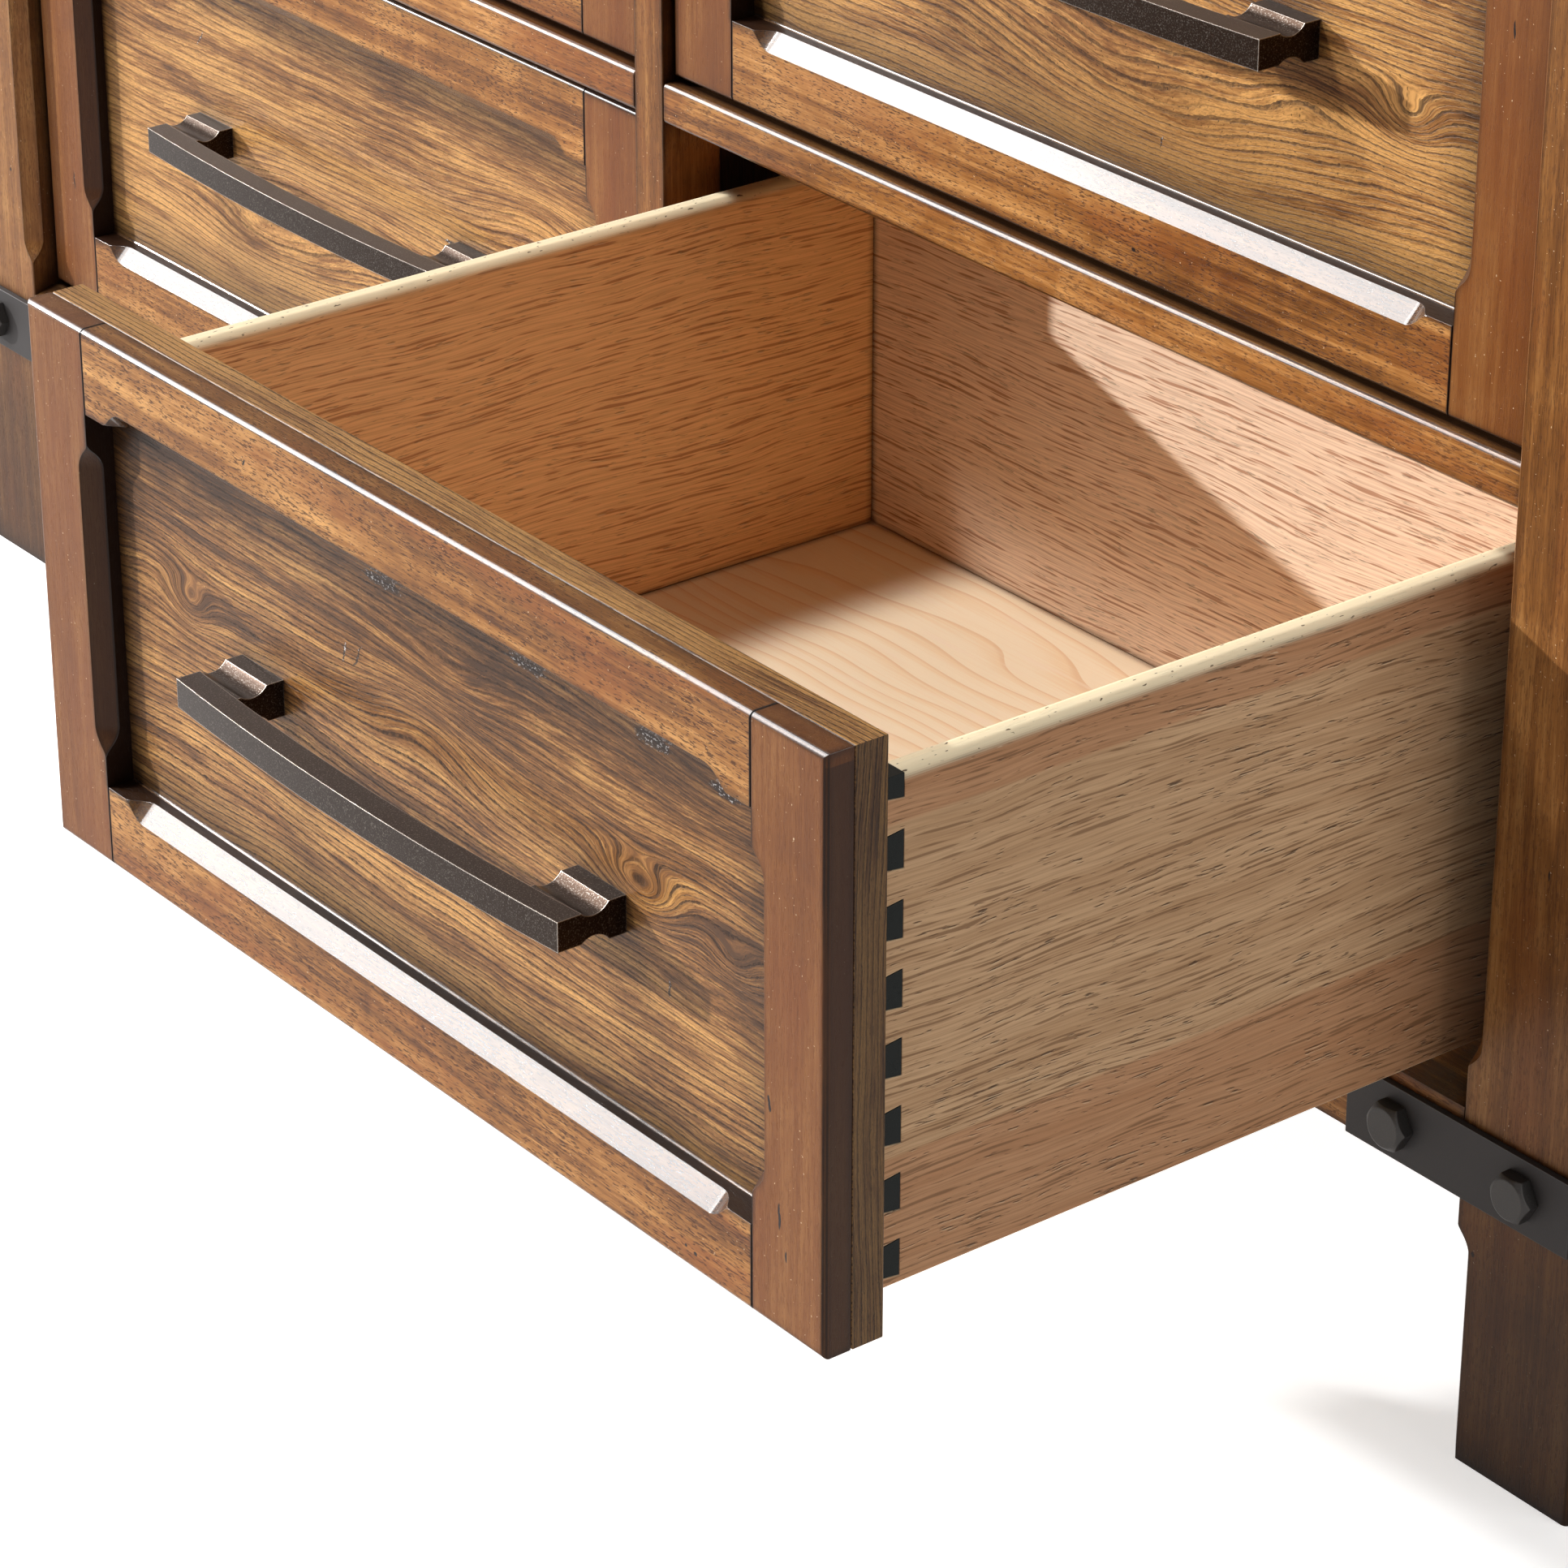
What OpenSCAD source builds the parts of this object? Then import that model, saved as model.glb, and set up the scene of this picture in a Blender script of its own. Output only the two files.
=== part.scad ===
// Media dresser: two columns of two drawers under an open media tier.
// X runs along the front, Y from front to back and Z up from the floor.
// The origin is on the floor, midway between the open drawer's pull and the back.

/* [Case] */
// Depth from the front faces of the posts to the back
case_depth = 457; // [445:1:500]
// Height of the legs below the bottom rail
leg_clear = 115; // [95:1:140]
// Width of a corner post, seen from the front
post_w = 66; // [62:1:76]
// Depth of a corner post
post_d = 45; // [42:1:54]
// Distance from the posts' faces back to the drawer faces
post_proud = 12; // [12:0.5:16]
// Height of the bottom rail
bottom_rail_h = 40; // [38:1:48]
// Run of the sloping sill along the top of the bottom rail
sill_run = 11; // [8:0.5:11]
// Rise of the sloping sill
sill_rise = 3.7; // [2:0.1:5]
// Height of the rails above and below the drawers
rail_h = 18; // [16:1:24]
// Depth of the rails from front to back
rail_depth = 50; // [48:1:60]
// Distance that the rails stand forward of the drawer faces
rail_proud = 4; // [2:0.5:6]
// Width of the upright between the columns
stile_w = 20; // [20:1:30]
// Depth of that upright
stile_depth = 30; // [26:1:34]
// Thickness of the partition behind the upright
partition_t = 12; // [9:1:18]
// Height of the upper and lower rails of an end frame
side_rail_h = 60; // [50:1:80]
// Thickness of those rails
side_rail_t = 22; // [18:1:26]
// Distance that the end frame lies inside the posts' outer faces
side_set_in = 4; // [2:0.5:8]
// Thickness of a side panel
side_panel_t = 8; // [6:0.5:10]
// Height of the rails across the back
rear_rail_h = 40; // [30:1:40]
// Thickness of the rails across the back
rear_rail_t = 20; // [16:1:22]
// Thickness of the back
back_t = 6; // [4:0.5:8]
// Width of the rabbets that hold the back
back_lap = 12; // [8:1:16]

/* [Joinery] */
// Length of a tenon in a post
tenon_len = 20; // [14:1:24]
// Length of a stub tenon in the thin upright
stub_len = 6; // [4:0.5:8]
// Shoulder on each side of a tenon
shoulder = 4; // [3:0.5:5]
// Play of a glued joint on each side
joint_gap = 0.1; // [0.05:0.05:0.2]
// Space left at the bottom of a mortise or groove
end_gap = 0.6; // [0.3:0.1:0.9]
// Depth of the grooves for panels
groove_depth = 6; // [4:0.5:7]

/* [Top and media tier] */
// Thickness of the top
top_t = 28; // [22:1:36]
// Overhang of the top at the front and at each end
top_over = 15; // [8:1:25]
// Clear height of the media openings
bay_h = 180; // [140:1:230]
// Height of the rail under the top
top_rail_h = 44; // [36:1:56]
// Thickness of the rail under the top
top_rail_t = 22; // [18:1:26]
// Thickness of the media shelf
shelf_t = 18; // [15:1:22]
// Thickness of the divider between the media openings
divider_t = 18; // [15:1:22]
// Diameter of a cable hole
cable_d = 50; // [40:1:60]
// Height of a cable hole's centre above the shelf
cable_up = 60; // [45:1:100]

/* [Drawer front] */
// Width of a drawer front
front_w = 500; // [460:1:540]
// Height of a drawer front
front_h = 230; // [224:1:250]
// Space at each side of a drawer front
side_gap = 2; // [1.5:0.1:3]
// Space above and below a drawer front
edge_gap = 2.5; // [1.5:0.1:3]
// Thickness of the board behind the frame
panel_t = 14; // [12:0.5:18]
// Thickness of the frame applied to it
frame_t = 12; // [10:0.5:14]
// Width of a frame stile
frame_stile_w = 40; // [34:1:48]
// Height of a frame rail
frame_rail_h = 35; // [28:1:42]
// Width of the dark joint line between stile and rail
joint_line = 0.5; // [0.3:0.1:0.8]
// Radius of the eased outer arris
arris_r = 2.5; // [1.5:0.1:3]
// Radius of the small arrises
small_r = 0.8; // [0.4:0.1:1]

/* [Stopped chamfers] */
// Width of a chamfer on each face
chamfer_w = 7; // [5:0.5:9]
// Length of the ogee that ends a chamfer
tongue_len = 13; // [6:0.5:16]
// Distance from a joint to the end of a chamfer
chamfer_stop = 12; // [8:0.5:20]
// Share of the ogee that is hollow before it swells
tongue_hollow = 0.3; // [0.2:0.05:0.6]

/* [Drawer box] */
// Distance from the end of the front to the box side
box_inset = 14; // [12:1:20]
// Distance from the top of the front down to the box top
box_drop = 25; // [20:1:35]
// Distance from the bottom of the front up to the box side
box_rise = 8; // [5:1:12]
// Space between a shut drawer's box and the rear rails
box_clear = 5; // [3:1:20]
// Thickness of a box side
side_t = 13; // [12:0.5:15]
// Radius along the top edges of a box side
side_round = 5; // [3:0.5:5.5]
// Thickness of the inner front that holds the pins
box_front_t = 18; // [16:1:20]
// Thickness of the box back
box_back_t = 12; // [10:1:15]
// Length of the sides past the box back
side_tail = 4; // [2:0.5:4.5]
// Thickness of the bottom board
bottom_t = 6; // [5:0.5:8]
// Height of the bottom board's underside above the front's lower edge
bottom_up = 31; // [29:1:36]
// Distance that the lower right drawer stands open
open_now = 312; // [250:1:330]

/* [Dovetails] */
// Distance from pin to pin
pin_pitch = 26.4; // [24:0.1:28]
// Height of the lowest pin's centre above the front's lower edge
pin_first = 18.4; // [17:0.1:20]
// Number of pins
pin_count = 8; // [6:1:8]
// Height of a pin at its root
pin_root = 14.6; // [12:0.1:16]
// Slope of a pin's cheeks in degrees
pin_slope = 7.5; // [5:0.5:9]
// Wood left in front of the tails
pin_lap = 6; // [4:0.5:8]

/* [Runner and guide] */
// Width of a centre runner
runner_w = 24; // [18:1:30]
// Width of the grooved guide
guide_w = 46; // [42:1:60]
// Height of the guide under the bottom board
guide_h = 18; // [14:1:18]
// Wood left above the guide's groove
guide_roof = 6; // [4:0.5:8]
// Running play between guide and runner
slide_gap = 0.3; // [0.2:0.1:0.5]
// Space round the runner where it passes the box front and back
runner_clear = 1.5; // [1:0.1:3]

/* [Pull] */
// Overall length of a pull
pull_len = 246; // [200:1:280]
// Height of its bar
bar_h = 12; // [11:0.5:13]
// Thickness of its bar
bar_t = 10.5; // [8:0.5:12]
// Distance from the board to the bar's outer face at the ends
bar_out = 29.5; // [28:0.5:34]
// Rise of the bar's bow at the middle
bar_bow = 5; // [3:0.5:8]
// Length of an end block along the bar
block_w = 28.5; // [22:0.5:34]
// Height of the foot of an end block
foot_h = 15; // [14:0.5:17]
// Depth of that foot
foot_t = 7.5; // [5:0.5:8]
// Height left at the waist of an end block
waist_h = 8; // [7.5:0.5:9]
// Radius of the coves above and below the waist
cove_r = 8; // [7:0.5:9]
// Diameter of a pull screw
screw_d = 4; // [3:0.5:4]
// Length of a pull screw inside the end block
screw_in = 8; // [5:0.5:9]

/* [Iron straps] */
// Height of a strap
strap_h = 31; // [26:1:32]
// Thickness of a strap
strap_t = 3; // [2:0.5:5]
// Reach of a strap to each side of the post's inner edge
strap_reach = 59; // [50:1:61]
// Distance of a bolt from that edge
bolt_reach = 33; // [28:1:38]
// Width of a bolt head across its flats
bolt_af = 18; // [14:1:20]
// Height of a bolt head
bolt_h = 6.5; // [4:0.5:9]
// Diameter of a bolt
bolt_d = 9.5; // [8:0.5:10]
// Length of a bolt under its head
bolt_len = 36; // [25:1:38]

/* [Hidden] */
$fn = 48;
over = 1;
arc_fn = 720;
ogee_steps = 10;
screw_head_r = 4.5;
screw_head_h = 2.5;
bolt_bevel = 1;
neck_step = 0.5;

opening_w = front_w + 2 * side_gap;
inner_x = stile_w / 2 + opening_w;
outer_x = inner_x + post_w;
row_pitch = front_h + 2 * edge_gap + rail_h;
bottom_rail_top = leg_clear + bottom_rail_h;
mid_rail_z = bottom_rail_top + front_h + 2 * edge_gap;
upper_rail_z = mid_rail_z + row_pitch;
shelf_top = upper_rail_z + rail_h;
top_rail_z = shelf_top + bay_h;
case_h = top_rail_z + top_rail_h;
rail_y = post_proud - rail_proud;
rail_tenon_y = min(post_d, rail_y + stile_depth);
rear_rail_y = case_depth - back_t - rear_rail_t;
back_y = case_depth - back_t;
halving_y = back_y - rear_rail_t / 2;
halving_z = case_h - rear_rail_h;
side_frame_x = outer_x - side_set_in - side_rail_t;
side_panel_x = side_frame_x + (side_rail_t - side_panel_t) / 2;

front_t = frame_t + panel_t;
box_w = front_w - 2 * box_inset;
box_in_w = box_w - 2 * side_t;
box_top = front_h - box_drop;
box_in_y = front_t + box_front_t;
box_end_y = rear_rail_y - post_proud - box_clear;
box_back_y = box_end_y - side_tail - box_back_t;
roof_z = bottom_up - guide_roof;
runner_top = roof_z - slide_gap;
notch_w = runner_w + 2 * runner_clear;
notch_top = roof_z + runner_clear;

bar_reach = bar_out + bar_bow;
bow_r = (pow(pull_len / 2, 2) + pow(bar_bow, 2)) / (2 * bar_bow);
block_x = (pull_len - block_w) / 2;
foremost = post_proud - open_now + frame_t - bar_reach;
front_y = -(case_depth + foremost) / 2;

// Each drawer is its name, its column, its row and how far it stands open.
DRAWERS = [
    ["drawer_lower_right", 1, 0, open_now],
    ["drawer_lower_left", -1, 0, 0],
    ["drawer_upper_right", 1, 1, 0],
    ["drawer_upper_left", -1, 1, 0]
];
DRAWER_PIECES = [
    "panel", "frame", "box_front", "side_left", "side_right", "box_back", "bottom", "guide", "pull"
];
CASE_PIECES = [
    "front_post_left", "front_post_right", "rear_post_left", "rear_post_right",
    "side_panel_left", "side_panel_right", "side_rails_left", "side_rails_right",
    "bottom_rail", "mid_rail_left", "mid_rail_right", "upper_rail", "top_rail",
    "centre_stile", "centre_partition", "media_shelf", "media_divider", "top_board",
    "back_panel", "rear_rails", "drawer_runners", "strap_left", "strap_right", "strap_bolts"
];

wood = [0.45, 0.28, 0.15];
dark_wood = [0.3, 0.19, 0.11];
box_wood = [0.78, 0.6, 0.42];
pale_wood = [0.88, 0.72, 0.54];
iron = [0.2, 0.19, 0.18];

// Places and repeats

module in_case() {
    translate([0, front_y, 0]) children();
}

module on_side(side) {
    mirror([side < 0 ? 1 : 0, 0, 0]) children();
}

module both_sides() {
    for (side = [-1, 1]) on_side(side) children();
}

module in_drawer(d) {
    translate([
        d[1] * (stile_w + opening_w) / 2,
        front_y + post_proud - d[3],
        bottom_rail_top + edge_gap + d[2] * row_pitch
    ]) children();
}

// A box given by its low and high corners
module block(low, high) {
    translate(low) cube(high - low);
}

// Extrudes a section drawn in Y and Z along X, between two places
module along_x(x0, x1) {
    translate([x0, 0, 0]) rotate([90, 0, 90]) linear_extrude(x1 - x0) children();
}

// Extrudes a section drawn in X and Z along Y, between two places
module along_y(y0, y1) {
    translate([0, y1, 0]) rotate([90, 0, 0]) linear_extrude(y1 - y0) children();
}

// What a round arris takes from a corner whose wood lies towards +X and +Y
module arris_cut(r) {
    difference() {
        translate([-over, -over]) square(r + over);
        translate([r, r]) circle(r);
    }
}

// A rectangle from 0, 0 with one radius at its lower corners and one at its upper ones
module eased(w, h, low_r, high_r) {
    difference() {
        square([w, h]);
        for (k = [0, 1]) translate([k * w, 0]) mirror([k, 0]) {
            arris_cut(low_r);
            translate([0, h]) mirror([0, 1]) arris_cut(high_r);
        }
    }
}

// Stopped chamfers

// Depth of the ogee at share t of its length, from 0 at its point to 1
function ogee(t) = t < tongue_hollow
    ? t * t / tongue_hollow
    : 1 - pow(1 - t, 2) / (1 - tongue_hollow);

// Outline of the cut along a chamfer from 0 to len, with its ends open or stopped
function chamfer_outline(len, depth, stop_low, stop_high) = concat(
    [[stop_low ? 0 : -over, -over]],
    stop_low
        ? [for (i = [0:ogee_steps]) [tongue_len * i / ogee_steps, depth * ogee(i / ogee_steps)]]
        : [[-over, depth]],
    stop_high
        ? [for (i = [ogee_steps:-1:0]) [len - tongue_len * i / ogee_steps, depth * ogee(i / ogee_steps)]]
        : [[len + over, depth]],
    [[stop_high ? len : len + over, -over]]
);

// Cutter for a chamfer along +X on an arris whose wood lies towards +Y and +Z
module chamfer_cutter(len, stop_low = true, stop_high = true) {
    rotate([-45, 0, 0]) translate([0, chamfer_w, 0]) rotate([90, 0, 0])
        linear_extrude(2 * chamfer_w)
            polygon(chamfer_outline(len, chamfer_w / sqrt(2), stop_low, stop_high));
}

// The same cutter along +Z, wood towards +X and +Y
module upright_cutter(len, stop_low = true, stop_high = true) {
    multmatrix([[0, 1, 0, 0], [0, 0, 1, 0], [1, 0, 0, 0], [0, 0, 0, 1]])
        chamfer_cutter(len, stop_low, stop_high);
}

// Tenons and mortises

// A bar along X with tenons at its ends, whose section is a box in Y and Z
module tenoned_x(x0, x1, y0, y1, z0, z1, left_len, right_len) {
    block([x0, y0, z0], [x1, y1, z1]);
    block([x0 - left_len, y0 + shoulder, z0 + shoulder], [x1 + right_len, y1 - shoulder, z1 - shoulder]);
}

// The mortise for such a tenon, cut from x0 to x1
module mortise_x(x0, x1, y0, y1, z0, z1) {
    block(
        [x0, y0 + shoulder - joint_gap, z0 + shoulder - joint_gap],
        [x1, y1 - shoulder + joint_gap, z1 - shoulder + joint_gap]
    );
}

// The same pair for a bar that runs along Y
module tenoned_y(x0, x1, y0, y1, z0, z1) {
    block([x0, y0, z0], [x1, y1, z1]);
    block([x0 + shoulder, y0 - tenon_len, z0 + shoulder], [x1 - shoulder, y1 + tenon_len, z1 - shoulder]);
}

module mortise_y(x0, x1, y0, y1, z0, z1) {
    block(
        [x0 + shoulder - joint_gap, y0, z0 + shoulder - joint_gap],
        [x1 - shoulder + joint_gap, y1, z1 - shoulder + joint_gap]
    );
}

// Case

module side_frame_cuts(face_y, dir) {
    low_y = dir > 0 ? face_y - over : face_y - tenon_len - end_gap;
    high_y = dir > 0 ? face_y + tenon_len + end_gap : face_y + over;
    for (z = [leg_clear, case_h - side_rail_h])
        mortise_y(side_frame_x, side_frame_x + side_rail_t, low_y, high_y, z, z + side_rail_h);
    groove_y0 = dir > 0 ? face_y - over : face_y - groove_depth - end_gap;
    groove_y1 = dir > 0 ? face_y + groove_depth + end_gap : face_y + over;
    block(
        [side_panel_x - joint_gap, groove_y0, leg_clear + side_rail_h - groove_depth - end_gap],
        [side_panel_x + side_panel_t + joint_gap, groove_y1, case_h - side_rail_h + groove_depth + end_gap]
    );
}

module front_post() {
    hole_end = inner_x + tenon_len + end_gap;
    difference() {
        translate([inner_x, 0, 0]) linear_extrude(case_h) eased(post_w, post_d, small_r, small_r);
        translate([outer_x, 0, -over]) mirror([1, 0, 0])
            linear_extrude(case_h + 2 * over) arris_cut(arris_r);
        translate([inner_x, 0, 0]) upright_cutter(leg_clear - chamfer_stop, false, true);
        translate([inner_x, 0, bottom_rail_top + chamfer_stop])
            upright_cutter(top_rail_z - bottom_rail_top - 2 * chamfer_stop);
        mortise_x(inner_x - over, hole_end, 0, post_d, leg_clear, bottom_rail_top - sill_rise);
        for (z = [mid_rail_z, upper_rail_z])
            mortise_x(inner_x - over, hole_end, rail_y, rail_tenon_y, z, z + rail_h);
        mortise_x(inner_x - over, hole_end, rail_y, rail_y + top_rail_t, top_rail_z, case_h);
        side_frame_cuts(post_d, -1);
        strap_hole(inner_x + bolt_reach, bolt_d / 2 + joint_gap, bolt_len + end_gap);
    }
}

module rear_post() {
    y0 = case_depth - post_d;
    hole_end = inner_x + tenon_len + end_gap;
    difference() {
        translate([inner_x, y0, 0]) linear_extrude(case_h) eased(post_w, post_d, small_r, small_r);
        for (z = rear_rail_heights())
            mortise_x(inner_x - over, hole_end, rear_rail_y, back_y, z, z + rear_rail_h);
        side_frame_cuts(y0, 1);
        block(
            [inner_x - over, back_y - joint_gap, leg_clear - joint_gap],
            [inner_x + back_lap + joint_gap, case_depth + over, case_h + over]
        );
    }
}

module front_post_left() { color(wood) in_case() on_side(-1) front_post(); }
module front_post_right() { color(wood) in_case() on_side(1) front_post(); }
module rear_post_left() { color(wood) in_case() on_side(-1) rear_post(); }
module rear_post_right() { color(wood) in_case() on_side(1) rear_post(); }

module side_panel() {
    block(
        [side_panel_x, post_d - groove_depth, leg_clear + side_rail_h - groove_depth],
        [
            side_panel_x + side_panel_t,
            case_depth - post_d + groove_depth,
            case_h - side_rail_h + groove_depth
        ]
    );
}

module side_panel_left() { color(wood) in_case() on_side(-1) side_panel(); }
module side_panel_right() { color(wood) in_case() on_side(1) side_panel(); }

module side_rail(z, groove_z0, groove_z1) {
    difference() {
        tenoned_y(
            side_frame_x, side_frame_x + side_rail_t, post_d, case_depth - post_d, z, z + side_rail_h
        );
        block(
            [side_panel_x - joint_gap, post_d - tenon_len - over, groove_z0],
            [side_panel_x + side_panel_t + joint_gap, case_depth - post_d + tenon_len + over, groove_z1]
        );
    }
}

module side_rails() {
    low_top = leg_clear + side_rail_h;
    high_bottom = case_h - side_rail_h;
    side_rail(leg_clear, low_top - groove_depth - end_gap, low_top + over);
    side_rail(high_bottom, high_bottom - over, high_bottom + groove_depth + end_gap);
}

module side_rails_left() { color(wood) in_case() on_side(-1) side_rails(); }
module side_rails_right() { color(wood) in_case() on_side(1) side_rails(); }

// Section of a rail in Y and Z, its face eased above and below
module rail_section(y0, y1, z0, h) {
    translate([y0, z0]) difference() {
        square([y1 - y0, h]);
        arris_cut(arris_r);
        translate([0, h]) mirror([0, 1]) arris_cut(arris_r);
    }
}

module bottom_rail() {
    color(wood) in_case() difference() {
        union() {
            along_x(-inner_x, inner_x) polygon([
                [0, leg_clear], [rail_y + rail_depth, leg_clear], [rail_y + rail_depth, bottom_rail_top],
                [sill_run, bottom_rail_top], [0, bottom_rail_top - sill_rise]
            ]);
            block(
                [-inner_x - tenon_len, shoulder, leg_clear + shoulder],
                [inner_x + tenon_len, post_d - shoulder, bottom_rail_top - sill_rise - shoulder]
            );
        }
        both_sides() strap_hole(inner_x - bolt_reach, bolt_d / 2 + joint_gap, bolt_len + end_gap);
        stile_mortise(bottom_rail_top - stub_len - end_gap, bottom_rail_top + over);
    }
}

module front_rail(x0, x1, left_len, right_len, z) {
    along_x(x0, x1) rail_section(rail_y, rail_y + rail_depth, z, rail_h);
    block(
        [x0 - left_len, rail_y + shoulder, z + shoulder],
        [x1 + right_len, rail_tenon_y - shoulder, z + rail_h - shoulder]
    );
}

module mid_rail() {
    front_rail(stile_w / 2, inner_x, stub_len, tenon_len, mid_rail_z);
}

module mid_rail_left() { color(wood) in_case() on_side(-1) mid_rail(); }
module mid_rail_right() { color(wood) in_case() on_side(1) mid_rail(); }

module upper_rail() {
    color(wood) in_case() difference() {
        front_rail(-inner_x, inner_x, tenon_len, tenon_len, upper_rail_z);
        stile_mortise(upper_rail_z - over, upper_rail_z + stub_len + end_gap);
    }
}

module top_rail() {
    y1 = rail_y + top_rail_t;
    color(wood) in_case() {
        along_x(-inner_x, inner_x) rail_section(rail_y, y1, top_rail_z, top_rail_h);
        block(
            [-inner_x - tenon_len, rail_y + shoulder, top_rail_z + shoulder],
            [inner_x + tenon_len, y1 - shoulder, case_h - shoulder]
        );
    }
}

// Cut for a stub tenon of the upright, between two heights
module stile_mortise(z0, z1) {
    block(
        [-stile_w / 2 + shoulder - joint_gap, sill_run + shoulder - joint_gap, z0],
        [stile_w / 2 - shoulder + joint_gap, rail_y + stile_depth - shoulder + joint_gap, z1]
    );
}

module centre_stile() {
    y1 = rail_y + stile_depth;
    foot_z = bottom_rail_top - sill_rise * (sill_run - rail_y) / sill_run;
    color(wood) in_case() difference() {
        union() {
            along_x(-stile_w / 2, stile_w / 2) polygon([
                [rail_y, foot_z], [max(sill_run, rail_y), bottom_rail_top], [y1, bottom_rail_top],
                [y1, upper_rail_z], [rail_y, upper_rail_z]
            ]);
            block(
                [-stile_w / 2 + shoulder, sill_run + shoulder, bottom_rail_top - stub_len],
                [stile_w / 2 - shoulder, y1 - shoulder, upper_rail_z + stub_len]
            );
        }
        both_sides() block(
            [
                stile_w / 2 - stub_len - end_gap,
                rail_y + shoulder - joint_gap,
                mid_rail_z + shoulder - joint_gap
            ],
            [
                stile_w / 2 + over,
                rail_tenon_y - shoulder + joint_gap,
                mid_rail_z + rail_h - shoulder + joint_gap
            ]
        );
    }
}

module centre_partition() {
    color(dark_wood) in_case() block(
        [-partition_t / 2, rail_y + stile_depth, bottom_rail_top],
        [partition_t / 2, rear_rail_y, shelf_top - shelf_t]
    );
}

module media_shelf() {
    rail_back = rail_y + rail_depth;
    end_x = side_panel_x - joint_gap;
    rear_post_y = case_depth - post_d;
    half = [
        [inner_x, rail_back], [inner_x, post_d], [end_x, post_d],
        [end_x, rear_post_y], [inner_x, rear_post_y], [inner_x, back_y]
    ];
    color(wood) in_case() translate([0, 0, shelf_top - shelf_t]) linear_extrude(shelf_t)
        polygon(concat(half, [for (i = [len(half) - 1:-1:0]) [-half[i][0], half[i][1]]]));
}

// The divider and the highest rear rail are halved into each other
module media_divider() {
    y1 = rail_y + top_rail_t;
    color(wood) in_case() along_x(-divider_t / 2, divider_t / 2) polygon([
        [rail_y, shelf_top], [back_y, shelf_top], [back_y, halving_z - joint_gap],
        [halving_y - joint_gap, halving_z - joint_gap], [halving_y - joint_gap, case_h],
        [y1, case_h], [y1, top_rail_z], [rail_y, top_rail_z]
    ]);
}

module top_board() {
    x1 = outer_x + top_over;
    depth = case_depth + top_over;
    color(wood) in_case() translate([0, -top_over, case_h]) intersection() {
        along_x(-x1, x1) difference() {
            square([depth, top_t]);
            arris_cut(arris_r);
            translate([0, top_t]) mirror([0, 1]) arris_cut(arris_r);
        }
        along_y(-over, depth + over) translate([-x1, 0]) eased(2 * x1, top_t, arris_r, arris_r);
    }
}

module back_panel() {
    x1 = inner_x + back_lap;
    color(dark_wood) in_case() difference() {
        block([-x1, back_y, leg_clear], [x1, case_depth, case_h]);
        both_sides() translate([(stile_w + opening_w) / 2, back_y - over, shelf_top + cable_up])
            rotate([-90, 0, 0]) cylinder(h = back_t + 2 * over, d = cable_d);
    }
}

function rear_rail_heights() = [
    bottom_rail_top - rear_rail_h, mid_rail_z + rail_h - rear_rail_h,
    shelf_top - shelf_t - rear_rail_h, halving_z
];

module rear_rails() {
    color(dark_wood) in_case() for (z = rear_rail_heights()) difference() {
        tenoned_x(-inner_x, inner_x, rear_rail_y, back_y, z, z + rear_rail_h, tenon_len, tenon_len);
        if (z > shelf_top) block(
            [-divider_t / 2 - joint_gap, rear_rail_y - over, z - over],
            [divider_t / 2 + joint_gap, halving_y, case_h + over]
        );
    }
}

module drawer_runners() {
    rise = edge_gap + runner_top;
    color(pale_wood) in_case() both_sides() for (z = [bottom_rail_top, mid_rail_z + rail_h])
        translate([(stile_w + opening_w) / 2, 0, z]) block(
            [-runner_w / 2, post_proud + front_t + end_gap, 0],
            [runner_w / 2, back_y, rise]
        );
}

// Hole for a strap bolt at x, from the front face into the wood
module strap_hole(x, r, depth) {
    translate([x, -strap_t - over, leg_clear + strap_h / 2])
        rotate([-90, 0, 0]) cylinder(h = depth + over, r = r);
}

module strap() {
    difference() {
        block(
            [inner_x - strap_reach, -strap_t, leg_clear],
            [inner_x + strap_reach, 0, leg_clear + strap_h]
        );
        for (side = [-1, 1])
            strap_hole(inner_x + side * bolt_reach, bolt_d / 2 + joint_gap, 2 * strap_t + over);
    }
}

module strap_left() { color(iron) in_case() on_side(-1) strap(); }
module strap_right() { color(iron) in_case() on_side(1) strap(); }

// A hexagon head with a chamfered face on its shank, pointing towards -Y
module bolt() {
    rotate([90, 0, 0]) {
        intersection() {
            cylinder(h = bolt_h, r = bolt_af / sqrt(3), $fn = 6);
            cylinder(h = bolt_h, r1 = bolt_af / 2 + bolt_h, r2 = bolt_af / 2 - bolt_bevel);
        }
        translate([0, 0, -bolt_len]) cylinder(h = bolt_len + over, d = bolt_d);
    }
}

module strap_bolts() {
    color(iron) in_case() both_sides() for (side = [-1, 1])
        translate([inner_x + side * bolt_reach, -strap_t, leg_clear + strap_h / 2]) bolt();
}

// Drawers, each drawn from the middle of the lower edge of its face

// Shape of the whole front between two depths, its arrises eased in front and behind
module front_blank(y0, y1, r_front, r_back) {
    intersection() {
        translate([-front_w / 2, y0, 0]) linear_extrude(front_h)
            eased(front_w, y1 - y0, r_front, r_back);
        translate([0, y0, 0]) along_x(-front_w / 2, front_w / 2) difference() {
            square([y1 - y0, front_h]);
            for (k = [0, 1]) translate([0, k * front_h]) mirror([0, k]) {
                arris_cut(r_front);
                translate([y1 - y0, 0]) mirror([1, 0]) arris_cut(r_back);
            }
        }
    }
}

module screw_holes(y0, y1, r) {
    for (side = [-1, 1]) translate([side * block_x, y0, front_h / 2])
        rotate([-90, 0, 0]) cylinder(h = y1 - y0, r = r);
}

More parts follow.
